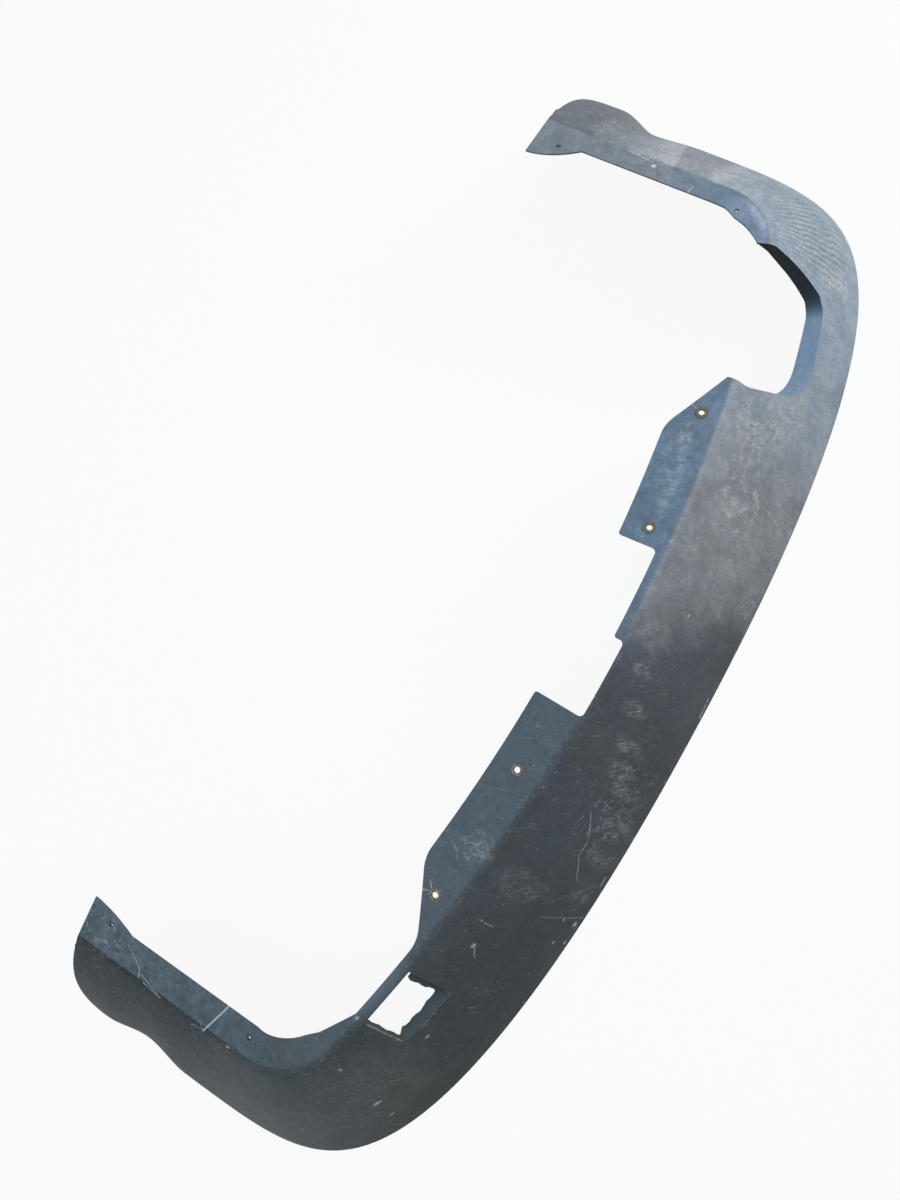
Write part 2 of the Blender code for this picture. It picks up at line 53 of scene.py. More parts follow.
CREASE_SETBACK = 0.009
RIM_HALF_WIDTH = 0.868
RIM_DEPTH = 0.579
RIM_SIDE_POWER = 2.2
RIM_REAR_POWER = 6.46
CREASE_SET_IN = 0.1455
CREASE_CROWN_RADIUS = 2.5
CREASE_CORNER_RADIUS = 0.100
CREASE_HALF_WIDTH = 0.690
ARM_END = 0.615
ARM_END_LEAN = 0.052
LOBE_LENGTH = 0.060
LOBE_RISE = 0.246
LEFT_LOBE_POWER = 2.0
RIGHT_LOBE_POWER = 2.5
NECK_LENGTH = 0.069
LEFT_LOBE_FLARE = 0.002
RIGHT_LOBE_FLARE = 0.019
LEFT_NECK_PINCH = 0.011
RIGHT_NECK_PINCH = 0.006
TAB_WIDTH = 0.071
TAB_OUTER_END = 0.347
TAB_CHAMFER = 0.093
LEFT_TAB_INNER_END = 0.073
RIGHT_TAB_INNER_END = 0.1755
TAB_CORNER_RADIUS = 0.004
TAB_CHAMFER_RADIUS = 0.055
GAP_FILLET = 0.007
STRIP_WIDTH = 0.015
STRIP_INNER_END = 0.043
GAP_CUT_BACK = 0.001
MARGIN_WIDTH = 0.010
MARGIN_END = 0.565
LEFT_TURN_START = 0.645
LEFT_TURN_WIDTH = 0.038
LEFT_ARM_FLANGE_WIDTH = 0.0535
RIGHT_TURN_WIDTH = 0.016
RIGHT_TURN_END = 0.705
RIGHT_ARM_FLANGE_WIDTH = 0.042
ARM_FLANGE_SLOPE = 0.40
LEFT_TIP_WIDTH = 0.073
RIGHT_TIP_WIDTH = 0.081
LEFT_TIP_SWELL = 0.003
RIGHT_TIP_SWELL = 0.008
TIP_BEND = 0.075
EXHAUST_START = 0.437
EXHAUST_END = 0.643
EXHAUST_LOW_START = 0.482
EXHAUST_LOW_END = 0.622
EXHAUST_DEPTH_START = 0.161
EXHAUST_DEPTH_END = 0.143
EXHAUST_SHOULDER = 0.024
EXHAUST_SHOULDER_RADIUS = 0.060
EXHAUST_START_RADIUS = 0.058
EXHAUST_END_RADIUS = 0.030
COLLAR_START_DEPTH = 0.038
COLLAR_END_DEPTH = 0.012
COLLAR_SLOPE = 0.20
COLLAR_RUN_OUT = 0.075
COLLAR_RISE = 0.018
COLLAR_END_RUN_OUT = 0.036
RECESS_START = 0.478
RECESS_LENGTH = 0.088
RECESS_TOP = 0.009
RECESS_HEIGHT = 0.086
RECESS_RADIUS = 0.012
RECESS_DEPTH = 0.020
RECESS_SIDE_DEPTH = 0.008
RECESS_SLOPE = 0.10
FLOOR_STRIP_WIDTH = 0.011
FLOOR_STRIP_DEPTH = 0.0035
FLOOR_THICKNESS = 0.002
TORN_DEPTH = 0.002
TORN_STEP = 0.003
TORN_WAVE = 0.006
EYELET_HOLE_RADIUS = 0.0057
ARM_HOLE_RADIUS = 0.002
LEFT_CORNER_HOLE_PLACE = 0.759
RIGHT_CORNER_HOLE_PLACE = 0.716
CORNER_HOLE_INSET = 0.033
TIP_HOLE_SET_BACK = 0.040
TIP_HOLE_INSET = 0.050
OVERRUN = 0.015
CUTTER_REACH = 0.060
WALL_TRIM = 0.003
SKIN_COVER = 0.0015

# Waves of a torn edge: pace, height and shift.
TORN_RIPPLES = [(0.55, 1.0, 0.0), (1.5, 1.0, 0.0), (3.7, 0.3, 1.0)]

# Fineness of the smooth moulding.
CROWN_STEPS = 48
CORNER_STEPS = 28
ARM_STEPS = 26
LOBE_STEPS = 18
FACE_STEPS = 24
FILLET_STEPS = 8
FLANGE_STEPS = 5
ARC_STEPS = 12
EDGE_STEPS = 12
ROUND_STEPS = 40
BISECTIONS = 30
TRIM_STEP = 0.030
EXHAUST_STEP = 0.030
WELD_DISTANCE = 0.00005
SHARP_ANGLE = math.radians(38)

# Material slots of the moulding: outer skin, inner side and walls of the openings.
SKIN_SLOT, BACK_SLOT, OPENING_SLOT = range(3)

# Holes of the centre flange, along and down the skin.
FLANGE_HOLES = [(-0.378, -0.029), (-0.178, -0.036), (0.200, -0.036), (0.378, -0.029)]


def crease_layout():
    """Middle of the corner's arc, the crown's turn, and the ends of crown, corner and arm."""
    centre_x = CREASE_HALF_WIDTH - CREASE_CORNER_RADIUS
    reach = CREASE_CROWN_RADIUS - CREASE_CORNER_RADIUS
    centre_y = CREASE_SET_IN + CREASE_CROWN_RADIUS - math.sqrt(reach * reach - centre_x * centre_x)
    turn = math.asin(centre_x / reach)
    crown = CREASE_CROWN_RADIUS * turn
    corner = CREASE_CORNER_RADIUS * (math.pi / 2 - turn)
    return centre_y, turn, crown, crown + corner, crown + corner + ARM_END - centre_y


CORNER_Y, CROWN_TURN, CROWN_END, CORNER_END, PATH_END = crease_layout()
LOBE_START = PATH_END - LOBE_LENGTH
TIP_HOLE_PLACE = PATH_END - TIP_HOLE_SET_BACK
ARM_HOLES = [(-TIP_HOLE_PLACE, -TIP_HOLE_INSET), (-LEFT_CORNER_HOLE_PLACE, -CORNER_HOLE_INSET),
             (RIGHT_CORNER_HOLE_PLACE, -CORNER_HOLE_INSET), (TIP_HOLE_PLACE, -TIP_HOLE_INSET)]


def smooth_step(value):
    value = min(max(value, 0.0), 1.0)
    return value * value * (3 - 2 * value)


def crease_at(along):
    """Point of the crease in plan and its outward normal."""
    side = math.copysign(1, along)
    along = abs(along)
    if along <= CROWN_END:
        angle = along / CREASE_CROWN_RADIUS
        radius = CREASE_CROWN_RADIUS
        centre = Vector((0, CREASE_SET_IN + CREASE_CROWN_RADIUS))
    else:
        angle = min(CROWN_TURN + (along - CROWN_END) / CREASE_CORNER_RADIUS, math.pi / 2)
        radius = CREASE_CORNER_RADIUS
        centre = Vector((CREASE_HALF_WIDTH - CREASE_CORNER_RADIUS, CORNER_Y))
    normal = Vector((math.sin(angle), -math.cos(angle)))
    point = centre + radius * normal + Vector((0, max(along - CORNER_END, 0)))
    return Vector((side * point.x, point.y)), Vector((side * normal.x, normal.y))


def outside_rim(point):
    side = (abs(point.x) / RIM_HALF_WIDTH) ** RIM_SIDE_POWER
    rear = (max(RIM_DEPTH - point.y, 0.0) / RIM_DEPTH) ** RIM_REAR_POWER
    return side + rear > 1


# Runs of the face that were already found, by the place along the crease.
RUNS = {}


def face_run(along):
    """Level distance from the crease out to the rim, square to the crease."""
    if along in RUNS:
        return RUNS[along]
    start, normal = crease_at(along)
    low, high = 0.0, RIM_HALF_WIDTH
    for _ in range(BISECTIONS):
        middle = (low + high) / 2
        if outside_rim(start + middle * normal):
            high = middle
        else:
            low = middle
    from_lobe = LOBE_START - abs(along)
    pinch = smooth_step(1 - abs(NECK_LENGTH - from_lobe) / NECK_LENGTH)
    flare = smooth_step(1 - from_lobe / NECK_LENGTH)
    if along < 0:
        RUNS[along] = low - LEFT_NECK_PINCH * pinch + LEFT_LOBE_FLARE * flare
    else:
        RUNS[along] = low - RIGHT_NECK_PINCH * pinch + RIGHT_LOBE_FLARE * flare
    return RUNS[along]


def section_point(along, down):
    """Level offset and height of the outer skin in the section at a place along the crease."""
    run = face_run(along)
    chord = math.hypot(run, CREASE_HEIGHT)
    slope = ARM_FLANGE_SLOPE * smooth_step((abs(along) - CROWN_END) / (CORNER_END - CROWN_END))

    def straight(distance):
        if distance < 0:
            return Vector((distance, CREASE_HEIGHT - slope * distance))
        share = distance / chord
        bulge = 4 * FACE_BULGE * share * (1 - share)
        return Vector((share * run + bulge * CREASE_HEIGHT / chord,
                       CREASE_HEIGHT * (1 - share) + bulge * run / chord))

    if abs(down) >= CREASE_SETBACK:
        return straight(down)
    blend = (down + CREASE_SETBACK) / (2 * CREASE_SETBACK)
    inner, outer = straight(-CREASE_SETBACK), straight(CREASE_SETBACK)
    return (1 - blend) ** 2 * inner + 2 * blend * (1 - blend) * straight(0) + blend ** 2 * outer


def skin_point(along, down):
    plan, normal = crease_at(along)
    offset, height = section_point(along, down)
    arm_share = max(abs(along) - CORNER_END, 0) / (PATH_END - CORNER_END)
    lean = ARM_END_LEAN * arm_share * (1 - height / CREASE_HEIGHT)
    return Vector((plan.x + offset * normal.x, plan.y + offset * normal.y + lean, height)) + ORIGIN


def skin_normal(along, down):
    step = CREASE_SETBACK
    ahead = skin_point(along + step, down) - skin_point(along - step, down)
    below = skin_point(along, down + step) - skin_point(along, down - step)
    return below.cross(ahead).normalized()


def rim_distance(along):
    """Distance down the skin from the crease to the rim, less on the arms' rounded ends."""
    length = math.hypot(face_run(along), CREASE_HEIGHT)
    share = min(max(0.0, (abs(along) - LOBE_START) / LOBE_LENGTH), 1.0)
    power = LEFT_LOBE_POWER if along < 0 else RIGHT_LOBE_POWER
    return length - LOBE_RISE * (1 - (1 - share ** power) ** (1 / power))


def stations():
    """Places along the crease where the moulding has a section."""
    half = [CROWN_END * i / CROWN_STEPS for i in range(CROWN_STEPS)]
    half += [CROWN_END + (CORNER_END - CROWN_END) * i / CORNER_STEPS for i in range(CORNER_STEPS)]
    half += [CORNER_END + (LOBE_START - CORNER_END) * i / ARM_STEPS for i in range(ARM_STEPS)]
    half += [LOBE_START + LOBE_LENGTH * math.sin(math.pi / 2 * i / LOBE_STEPS)
             for i in range(LOBE_STEPS + 1)]
    return [-along for along in reversed(half[1:])] + half


def section_rows(along):
    """Distances down the skin in one section, from the rim to well inside the flange's edge."""
    rim = rim_distance(along)
    edge = OVERRUN - CREASE_CORNER_RADIUS
    rows = [rim + (CREASE_SETBACK - rim) * i / FACE_STEPS for i in range(FACE_STEPS)]
    rows += [CREASE_SETBACK * (1 - 2 * i / FILLET_STEPS) for i in range(FILLET_STEPS)]
    rows += [-CREASE_SETBACK + (edge + CREASE_SETBACK) * i / FLANGE_STEPS
             for i in range(FLANGE_STEPS + 1)]
    return rows


def new_object(name, data):
    made = bpy.data.objects.new(name, data)
    bpy.context.scene.collection.objects.link(made)
    return made


class Body:
    """Points with their places on the developed skin, and faces with their material slots."""

    def __init__(self):
        self.points, self.places, self.faces, self.slots = [], [], [], []

    def add(self, point, place):
        self.points.append(point)
        self.places.append(place)
        return len(self.points) - 1

    def face(self, corners, slot=SKIN_SLOT):
        self.faces.append(corners)
        self.slots.append(slot)

    def loft(self, sections, places, slot=SKIN_SLOT):
        """Capped body through a row of like polygons."""
        rings = [[self.add(point, place) for point, place in zip(section, spots)]
                 for section, spots in zip(sections, places)]
        count = len(rings[0])
        for ring, following in zip(rings, rings[1:]):
            for k in range(count):
                after = (k + 1) % count
                self.face((ring[k], ring[after], following[after], following[k]), slot)
        self.face(rings[0], slot)
        self.face(rings[-1], slot)
        return self

    def make(self, name, materials):
        data = bpy.data.meshes.new(name)
        data.from_pydata(self.points, [], self.faces)
        for material in materials:
            data.materials.append(material)
        data.polygons.foreach_set("material_index", self.slots)
        layer = data.uv_layers.new(name="skin")
        for loop, spot in zip(data.loops, layer.data):
            spot.uv = self.places[loop.vertex_index]
        shape = bmesh.new()
        shape.from_mesh(data)
        bmesh.ops.recalc_face_normals(shape, faces=shape.faces)
        shape.to_mesh(data)
        shape.free()
        return new_object(name, data)


def shell_body():
    """Plain shell of the whole cover before any cut."""
    places = [[(along, down) for down in section_rows(along)] for along in stations()]
    grid = [[skin_point(*place) for place in column] for column in places]
    body = Body()
    last_column, last_row = len(grid) - 1, len(grid[0]) - 1
    outer, inner = [], []
    for i, column in enumerate(grid):
        outer.append([body.add(point, place) for point, place in zip(column, places[i])])
        backs = []
        for j, point in enumerate(column):
            ahead = grid[min(i + 1, last_column)][j] - grid[max(i - 1, 0)][j]
            across = column[min(j + 1, last_row)] - column[max(j - 1, 0)]
            normal = ahead.cross(across).normalized()
            back = point - WALL * normal
            if back.z < 0:
                level = Vector((normal.x, normal.y, 0)).normalized()
                back = point - level * WALL / level.dot(normal)
            backs.append(body.add(back, places[i][j]))
        inner.append(backs)
    for i in range(last_column):
        for j in range(last_row):
            body.face((outer[i][j], outer[i + 1][j], outer[i + 1][j + 1], outer[i][j + 1]))
            body.face((inner[i][j], inner[i][j + 1], inner[i + 1][j + 1], inner[i + 1][j]),
                      BACK_SLOT)
        for j in (0, last_row):
            body.face((outer[i][j], outer[i + 1][j], inner[i + 1][j], inner[i][j]))
    for j in range(last_row):
        for i in (0, last_column):
            body.face((outer[i][j], outer[i][j + 1], inner[i][j + 1], inner[i][j]))
    return body


def rounded_path(corners):
    """Polyline through corners given as (along, down, radius), each rounded by its radius."""
    points = [Vector(corners[0][:2])]
    for before, here, after in zip(corners, corners[1:], corners[2:]):
        corner, radius = Vector(here[:2]), here[2]
        back = (Vector(before[:2]) - corner).normalized()
        ahead = (Vector(after[:2]) - corner).normalized()
        half = back.angle(ahead) / 2
        middle = corner + (back + ahead).normalized() * radius / math.sin(half)
        first = corner + back * radius / math.tan(half) - middle
        last = corner + ahead * radius / math.tan(half) - middle
        sweep = first.angle_signed(last)
        for step in range(ARC_STEPS + 1):
            turn = -sweep * step / ARC_STEPS
            points.append(middle + Vector((first.x * math.cos(turn) - first.y * math.sin(turn),
                                           first.x * math.sin(turn) + first.y * math.cos(turn))))
    return points + [Vector(corners[-1][:2])]


def split_path(points, longest):
    """The same polyline with no step longer than a limit."""
    fine = [points[0]]
    for start, end in zip(points, points[1:]):
        count = max(1, math.ceil((end - start).length / longest))
        fine += [start.lerp(end, i / count) for i in range(1, count + 1)]
    return fine


def trim_body():
    """Cutter for everything inside the flange's edge, from tip to tip."""

    def turn(start, end):
        return [Vector(start).lerp(Vector(end), i / EDGE_STEPS) for i in range(EDGE_STEPS + 1)]

    def tip(arm_width, tip_width, swell):
        bend = Vector((PATH_END - TIP_BEND, arm_width))
        end = Vector((PATH_END, tip_width))
        shares = [i / EDGE_STEPS for i in range(EDGE_STEPS + 1)]
        edge = [bend.lerp(end, share) + Vector((0, 4 * swell * share * (1 - share)))
                for share in shares]
        return edge + [bend.lerp(end, 1 + OVERRUN / TIP_BEND)]

    left = rounded_path([(0, -GAP_CUT_BACK), (LEFT_TAB_INNER_END, -GAP_CUT_BACK, GAP_FILLET),
                         (LEFT_TAB_INNER_END, TAB_WIDTH, TAB_CORNER_RADIUS),
                         (TAB_OUTER_END, TAB_WIDTH, TAB_CHAMFER_RADIUS),
                         (TAB_OUTER_END + TAB_CHAMFER, MARGIN_WIDTH, TAB_CHAMFER_RADIUS),
                         (MARGIN_END, MARGIN_WIDTH)])
    left += turn((LEFT_TURN_START, LEFT_TURN_WIDTH), (CORNER_END, LEFT_ARM_FLANGE_WIDTH))
    left += tip(LEFT_ARM_FLANGE_WIDTH, LEFT_TIP_WIDTH, LEFT_TIP_SWELL)
    right = rounded_path([(0, -GAP_CUT_BACK), (STRIP_INNER_END, -GAP_CUT_BACK, GAP_FILLET),
                          (STRIP_INNER_END, STRIP_WIDTH, TAB_CORNER_RADIUS),
                          (RIGHT_TAB_INNER_END, STRIP_WIDTH, GAP_FILLET),
                          (RIGHT_TAB_INNER_END, TAB_WIDTH, TAB_CORNER_RADIUS),
                          (TAB_OUTER_END, TAB_WIDTH, TAB_CHAMFER_RADIUS),
                          (TAB_OUTER_END + TAB_CHAMFER, MARGIN_WIDTH)])[1:]
    right += turn((EXHAUST_END - OVERRUN, RIGHT_TURN_WIDTH),
                  (RIGHT_TURN_END, RIGHT_ARM_FLANGE_WIDTH))
    right += tip(RIGHT_ARM_FLANGE_WIDTH, RIGHT_TIP_WIDTH, RIGHT_TIP_SWELL)
    places = []
    for side, edge in ((-1, left), (1, right)):
        edge = split_path(edge, TRIM_STEP)
        run = [(side * place.x, -place.y) for place in edge]
        places += run[::-1] if side < 0 else run
    points = [skin_point(*place) for place in places]
    points += [points[-1] + Vector((0, ARM_END, 0)), points[0] + Vector((0, ARM_END, 0))]
    places += [places[-1], places[0]]
    levels = [CREASE_HEIGHT - CUTTER_REACH, CREASE_HEIGHT + CUTTER_REACH]
    sections = [[Vector((point.x, point.y, level)) for point in points] for level in levels]
    return Body().loft(sections, [places, places])


def opening_frames(path, longest, direction):
    """Places round an opening, with their skin points, the way into it and the length so far."""
    places = split_path(rounded_path(path), longest)
    frames, length = [], 0.0
    for i, place in enumerate(places):
        step = places[min(i + 1, len(places) - 1)] - places[max(i - 1, 0)]
        side = Vector((-step.y, step.x)).normalized()
        edge = skin_point(*place)
        inward = edge - skin_point(*(place + WALL * side))
        inward = (inward - inward.dot(direction) * direction).normalized()
        length += (place - places[max(i - 1, 0)]).length
        frames.append((place, edge, inward, length))
    return frames


def add_opening(body, frames, slope, direction):
    """Cutter: straight above the skin and closing in by a slope below it."""
    heights = [edge.dot(direction) for _, edge, _, _ in frames]
    top, foot = max(heights) + OVERRUN, min(heights) - CUTTER_REACH
    above, middle, below = [], [], []
    for (_, edge, inward, _), height in zip(frames, heights):
        above.append(edge + (top - height) * direction)
        middle.append(edge)
        below.append(edge + (height - foot) * (slope * inward - direction))
    places = [tuple(place) for place, _, _, _ in frames]
    body.loft([above, middle, below], [places] * 3, OPENING_SLOT)


def add_wall(body, frames, depths, slope, direction):
    """Wall down from the skin, with spare thickness that the opening's cutter trims."""
    sections, places = [], []
    for (place, edge, inward, _), depth in zip(frames, depths):
        inner, outer = edge + WALL_TRIM * inward, edge - WALL * inward
        start, end = -SKIN_COVER * direction, depth * (slope * inward - direction)
        sections.append([inner + start, outer + start, outer + end, inner + end])
        places.append([tuple(place)] * 4)
    body.loft(sections, places, OPENING_SLOT)


def torn_offset(length):
    """How far a torn edge stands out at a length along it."""
    turn = length / TORN_WAVE
    wave = sum(height * math.sin(pace * turn + shift) for pace, height, shift in TORN_RIPPLES)
    return TORN_DEPTH * wave / 2


def add_exhaust(walls, openings):
    """Exhaust cut-out, with a collar that runs out at both ends."""
    path = [(EXHAUST_START, 0), (EXHAUST_START, EXHAUST_SHOULDER, EXHAUST_SHOULDER_RADIUS),
            (EXHAUST_LOW_START, EXHAUST_DEPTH_START, EXHAUST_START_RADIUS),
            (EXHAUST_LOW_END, EXHAUST_DEPTH_END, EXHAUST_END_RADIUS), (EXHAUST_END, -COLLAR_RISE)]
    way = skin_normal((EXHAUST_START + EXHAUST_END) / 2, EXHAUST_DEPTH_END / 2)
    frames = opening_frames(path, EXHAUST_STEP, way)
    total = frames[-1][3]
    depths = []
    for _, _, _, length in frames:
        depth = COLLAR_START_DEPTH + (COLLAR_END_DEPTH - COLLAR_START_DEPTH) * length / total
        fade = smooth_step(length / COLLAR_RUN_OUT)
        fade *= smooth_step((total - length) / COLLAR_END_RUN_OUT)
        depths.append(WALL + depth * fade)
    add_wall(walls, frames, depths, COLLAR_SLOPE, way)
    past_edge = -MARGIN_WIDTH - OVERRUN
    closing = [(Vector((along, past_edge)), skin_point(along, past_edge), Vector(), 0)
               for along in (EXHAUST_END, EXHAUST_START)]
    add_opening(openings, frames + closing, COLLAR_SLOPE, way)


def add_recess(walls, openings, strip):
    """Recess with torn walls, and what is left of its floor at the end nearer the middle."""
    start, end = -RECESS_START, -RECESS_START - RECESS_LENGTH
    foot = RECESS_TOP + RECESS_HEIGHT
    path = [(end, RECESS_TOP), (end, foot, RECESS_RADIUS), (start, foot, RECESS_RADIUS),
            (start, RECESS_TOP)]
    way = skin_normal((start + end) / 2, RECESS_TOP + RECESS_HEIGHT / 2)
    frames = opening_frames(path, TORN_STEP, way)
    total = frames[-1][3]
    depths = []
    for _, _, _, length in frames:
        from_end = min(length, total - length)
        share = smooth_step((from_end - RECESS_HEIGHT) / RECESS_RADIUS + 1)
        depth = RECESS_SIDE_DEPTH + (RECESS_DEPTH - RECESS_SIDE_DEPTH) * share
        depths.append(depth + torn_offset(length))
    add_wall(walls, frames, depths, RECESS_SLOPE, way)
    add_opening(openings, frames, RECESS_SLOPE, way)
    sections, places = [], []
    for place, edge, inward, length in frames:
        if TORN_WAVE < total - length < RECESS_HEIGHT - RECESS_RADIUS:
            root = edge - FLOOR_STRIP_DEPTH * way - WALL / 2 * inward
            tip = root + (FLOOR_STRIP_WIDTH + torn_offset(length)) * inward
            under = -FLOOR_THICKNESS * way
            sections.append([root, tip, tip + under, root + under])
            places.append([tuple(place)] * 4)
    strip.loft(sections, places)


def add_drill(body, place, radius):
    """Upright round cutter at a place on the skin."""
    centre = skin_point(*place)
    turns = [2 * math.pi * i / ROUND_STEPS for i in range(ROUND_STEPS)]
    circle = [centre + radius * Vector((math.cos(turn), math.sin(turn), 0)) for turn in turns]
    reach = Vector((0, 0, OVERRUN))
    body.loft([[point - reach for point in circle], [point + reach for point in circle]],
              [[place] * ROUND_STEPS] * 2)


def build_moulding(materials):
    """The whole moulding as one smooth mesh, cut like the solid."""
    piece = shell_body().make("moulded_cover", materials)
    walls, openings, drills, strip = Body(), Body(), Body(), Body()
    add_exhaust(walls, openings)
    add_recess(walls, openings, strip)
    for holes, radius in ((FLANGE_HOLES, EYELET_HOLE_RADIUS), (ARM_HOLES, ARM_HOLE_RADIUS)):
        for place in holes:
            add_drill(drills, place, radius)
    steps = [("trim", "DIFFERENCE", trim_body()), ("walls", "UNION", walls),
             ("openings", "DIFFERENCE", openings), ("strip", "UNION", strip),
             ("drills", "DIFFERENCE", drills)]
    tools = []
    for name, operation, body in steps:
        tools.append(body.make(name, materials))
        step = piece.modifiers.new(name, "BOOLEAN")
        step.operation = operation
        step.object = tools[-1]
    weld = piece.modifiers.new("weld", "WELD")
    weld.merge_threshold = WELD_DISTANCE
    graph = bpy.context.evaluated_depsgraph_get()
    done = bpy.data.meshes.new_from_object(piece.evaluated_get(graph), preserve_all_data_layers=True,
                                           depsgraph=graph)
    piece.modifiers.clear()
    piece.data = done
    for tool in tools:
        bpy.data.objects.remove(tool, do_unlink=True)
    done.shade_smooth()
    done.set_sharp_from_angle(angle=SHARP_ANGLE)
    return piece


# Shares of an oval spot at full strength, and of a stroke's width at full strength and at its edge.
SPOT_CORE = 0.2
STROKE_CORE = 0.15
STROKE_EDGE = 0.6


class Nodes:
    """Short names for building a material's node tree."""

    def __init__(self, name, shine):
        self.material = bpy.data.materials.new(name)
        self.material.use_nodes = True
        self.tree = self.material.node_tree
        self.shader = self.tree.nodes["Principled BSDF"]
        self.shader.inputs["Specular IOR Level"].default_value = shine

    def put(self, value, socket):
        if isinstance(value, bpy.types.NodeSocket):
            self.tree.links.new(value, socket)
        else:
            socket.default_value = value

    def add(self, kind, settings=(), **inputs):
        node = self.tree.nodes.new(kind)
        for name, value in dict(settings).items():
            setattr(node, name, value)
        for name, value in inputs.items():
            self.put(value, node.inputs[name.replace("_", " ")])
        return node

    def operate(self, kind, operation, values):
        node = self.add(kind, {"operation": operation})
        for value, socket in zip(values, node.inputs):
            self.put(value, socket)
        return node.outputs

    def math(self, operation, *values):
        return self.operate("ShaderNodeMath", operation, values)["Value"]

    def vector(self, operation, *values):
        outputs = self.operate("ShaderNodeVectorMath", operation, values)
        gives_number = operation in ("DOT_PRODUCT", "DISTANCE", "LENGTH")
        return outputs["Value" if gives_number else "Vector"]

    def scaled(self, vector, scale, turn=0.0):
        node = self.add("ShaderNodeMapping", {"vector_type": "TEXTURE"}, Vector=vector)
        node.inputs["Scale"].default_value = [1 / share for share in scale]
        node.inputs["Rotation"].default_value = (0, 0, turn)
        return node.outputs["Vector"]

    def noise(self, vector, scale, detail, roughness=0.55, distortion=0.0):
        node = self.add("ShaderNodeTexNoise", Vector=vector, Scale=scale, Detail=detail,
                        Roughness=roughness, Distortion=distortion)
        return node.outputs["Fac"]

    def span(self, value, low, high, start=0.0, end=1.0):
        """A smooth change of value from start to end between low and high."""
        node = self.add("ShaderNodeMapRange", {"interpolation_type": "SMOOTHSTEP"}, Value=value)
        limits = {"From Min": low, "From Max": high, "To Min": start, "To Max": end}
        for name, number in limits.items():
            node.inputs[name].default_value = number
        return node.outputs["Result"]

    def mix(self, factor, first, second):
        node = self.tree.nodes.new("ShaderNodeMix")
        node.data_type = "RGBA"
        for name, value in (("Factor", factor), ("A", first), ("B", second)):
            socket = [item for item in node.inputs if item.name == name and item.enabled][0]
            self.put((*value, 1) if isinstance(value, tuple) else value, socket)
        return [item for item in node.outputs if item.enabled][0]

    def bump(self, height, distance, strength, normal=None):
        node = self.add("ShaderNodeBump", Height=height, Distance=distance, Strength=strength)
        if normal:
            self.put(normal, node.inputs["Normal"])
        return node.outputs["Normal"]

    def spot(self, place, along, down, length, height):
        """1 in the middle of an oval on the skin, falling to 0 at its edge."""
        moved = self.vector("SUBTRACT", place, (along, down, 0))
        scaled = self.vector("MULTIPLY", moved, (1 / length, 1 / height, 0))
        return self.span(self.vector("LENGTH", scaled), SPOT_CORE, 1.0, 1.0, 0.0)

    def stroke(self, place, mark):
        """A line on the skin from one place to another, with its width and strength."""
        along, down, end_along, end_down, width, strength = mark
        way = (end_along - along, end_down - down, 0)
        moved = self.vector("SUBTRACT", place, (along, down, 0))
        reach = self.vector("DOT_PRODUCT", moved, way)
        share = self.math("MULTIPLY", reach, 1 / (way[0] ** 2 + way[1] ** 2))
        share.node.use_clamp = True
        nearest = self.add("ShaderNodeVectorMath", {"operation": "SCALE"}, Vector=way, Scale=share)
        distance = self.vector("DISTANCE", moved, nearest.outputs[0])
        return self.span(distance, width * STROKE_CORE, width * STROKE_EDGE, strength, 0.0)

    def most(self, values):
        return reduce(lambda first, second: self.math("MAXIMUM", first, second), values)

    def product(self, *values):
        return reduce(lambda first, second: self.math("MULTIPLY", first, second), values)

    def finish(self, colour, roughness, normal):
        self.put(colour, self.shader.inputs["Base Color"])
        self.put(roughness, self.shader.inputs["Roughness"])
        self.put(normal, self.shader.inputs["Normal"])
        return self.material


# Scratches on the skin: start and end along and down, width and strength.
STROKES = [
    (-0.842, 0.010, -0.825, 0.003, 0.0020, 0.5),
    (-0.974, -0.039, -0.943, -0.020, 0.0020, 0.55),
    (-0.943, -0.020, -0.940, -0.006, 0.0022, 0.6),
    (-0.930, -0.003, -0.898, 0.003, 0.0024, 0.7),
    (-0.941, -0.014, -0.903, 0.000, 0.0022, 0.65),
    (0.915, -0.006, 0.873, -0.010, 0.0028, 0.55),
    (0.801, -0.028, 0.802, -0.043, 0.0022, 0.5),
    (0.315, 0.163, 0.310, 0.201, 0.0020, 0.42),
    (0.310, 0.201, 0.299, 0.240, 0.0020, 0.42),
    (-0.176, 0.118, -0.211, 0.146, 0.0030, 0.40),
    (-0.211, 0.146, -0.237, 0.150, 0.0028, 0.50),
    (-0.237, 0.150, -0.267, 0.179, 0.0028, 0.36),
    (-0.334, 0.154, -0.312, 0.257, 0.0020, 0.35),
    (-0.373, 0.052, -0.373, 0.081, 0.0026, 0.5),
    (-0.411, 0.077, -0.421, 0.089, 0.0026, 0.5),
    (-0.367, -0.046, -0.377, -0.034, 0.0020, 0.6),
    (-0.384, -0.048, -0.370, -0.026, 0.0020, 0.5),
    (0.379, -0.033, 0.388, -0.052, 0.0018, 0.5),
    (0.197, -0.037, 0.183, -0.041, 0.0018, 0.4),
    (0.046, 0.248, 0.016, 0.252, 0.0060, 0.6),
    (-0.249, 0.248, -0.262, 0.250, 0.0050, 0.6),
    (0.127, 0.257, 0.110, 0.262, 0.0040, 0.5),
    (-0.5675, 0.014, -0.5675, 0.084, 0.0024, 0.5),
    (-0.540, 0.0965, -0.480, 0.0965, 0.0022, 0.25),
]

# The cracked place of the left arm's flange, given like a scratch.
CRACKS = [
    (-0.823, 0.005, -0.803, -0.054, 0.0030, 0.95),
    (-0.823, 0.005, -0.832, -0.008, 0.0016, 0.40),
]

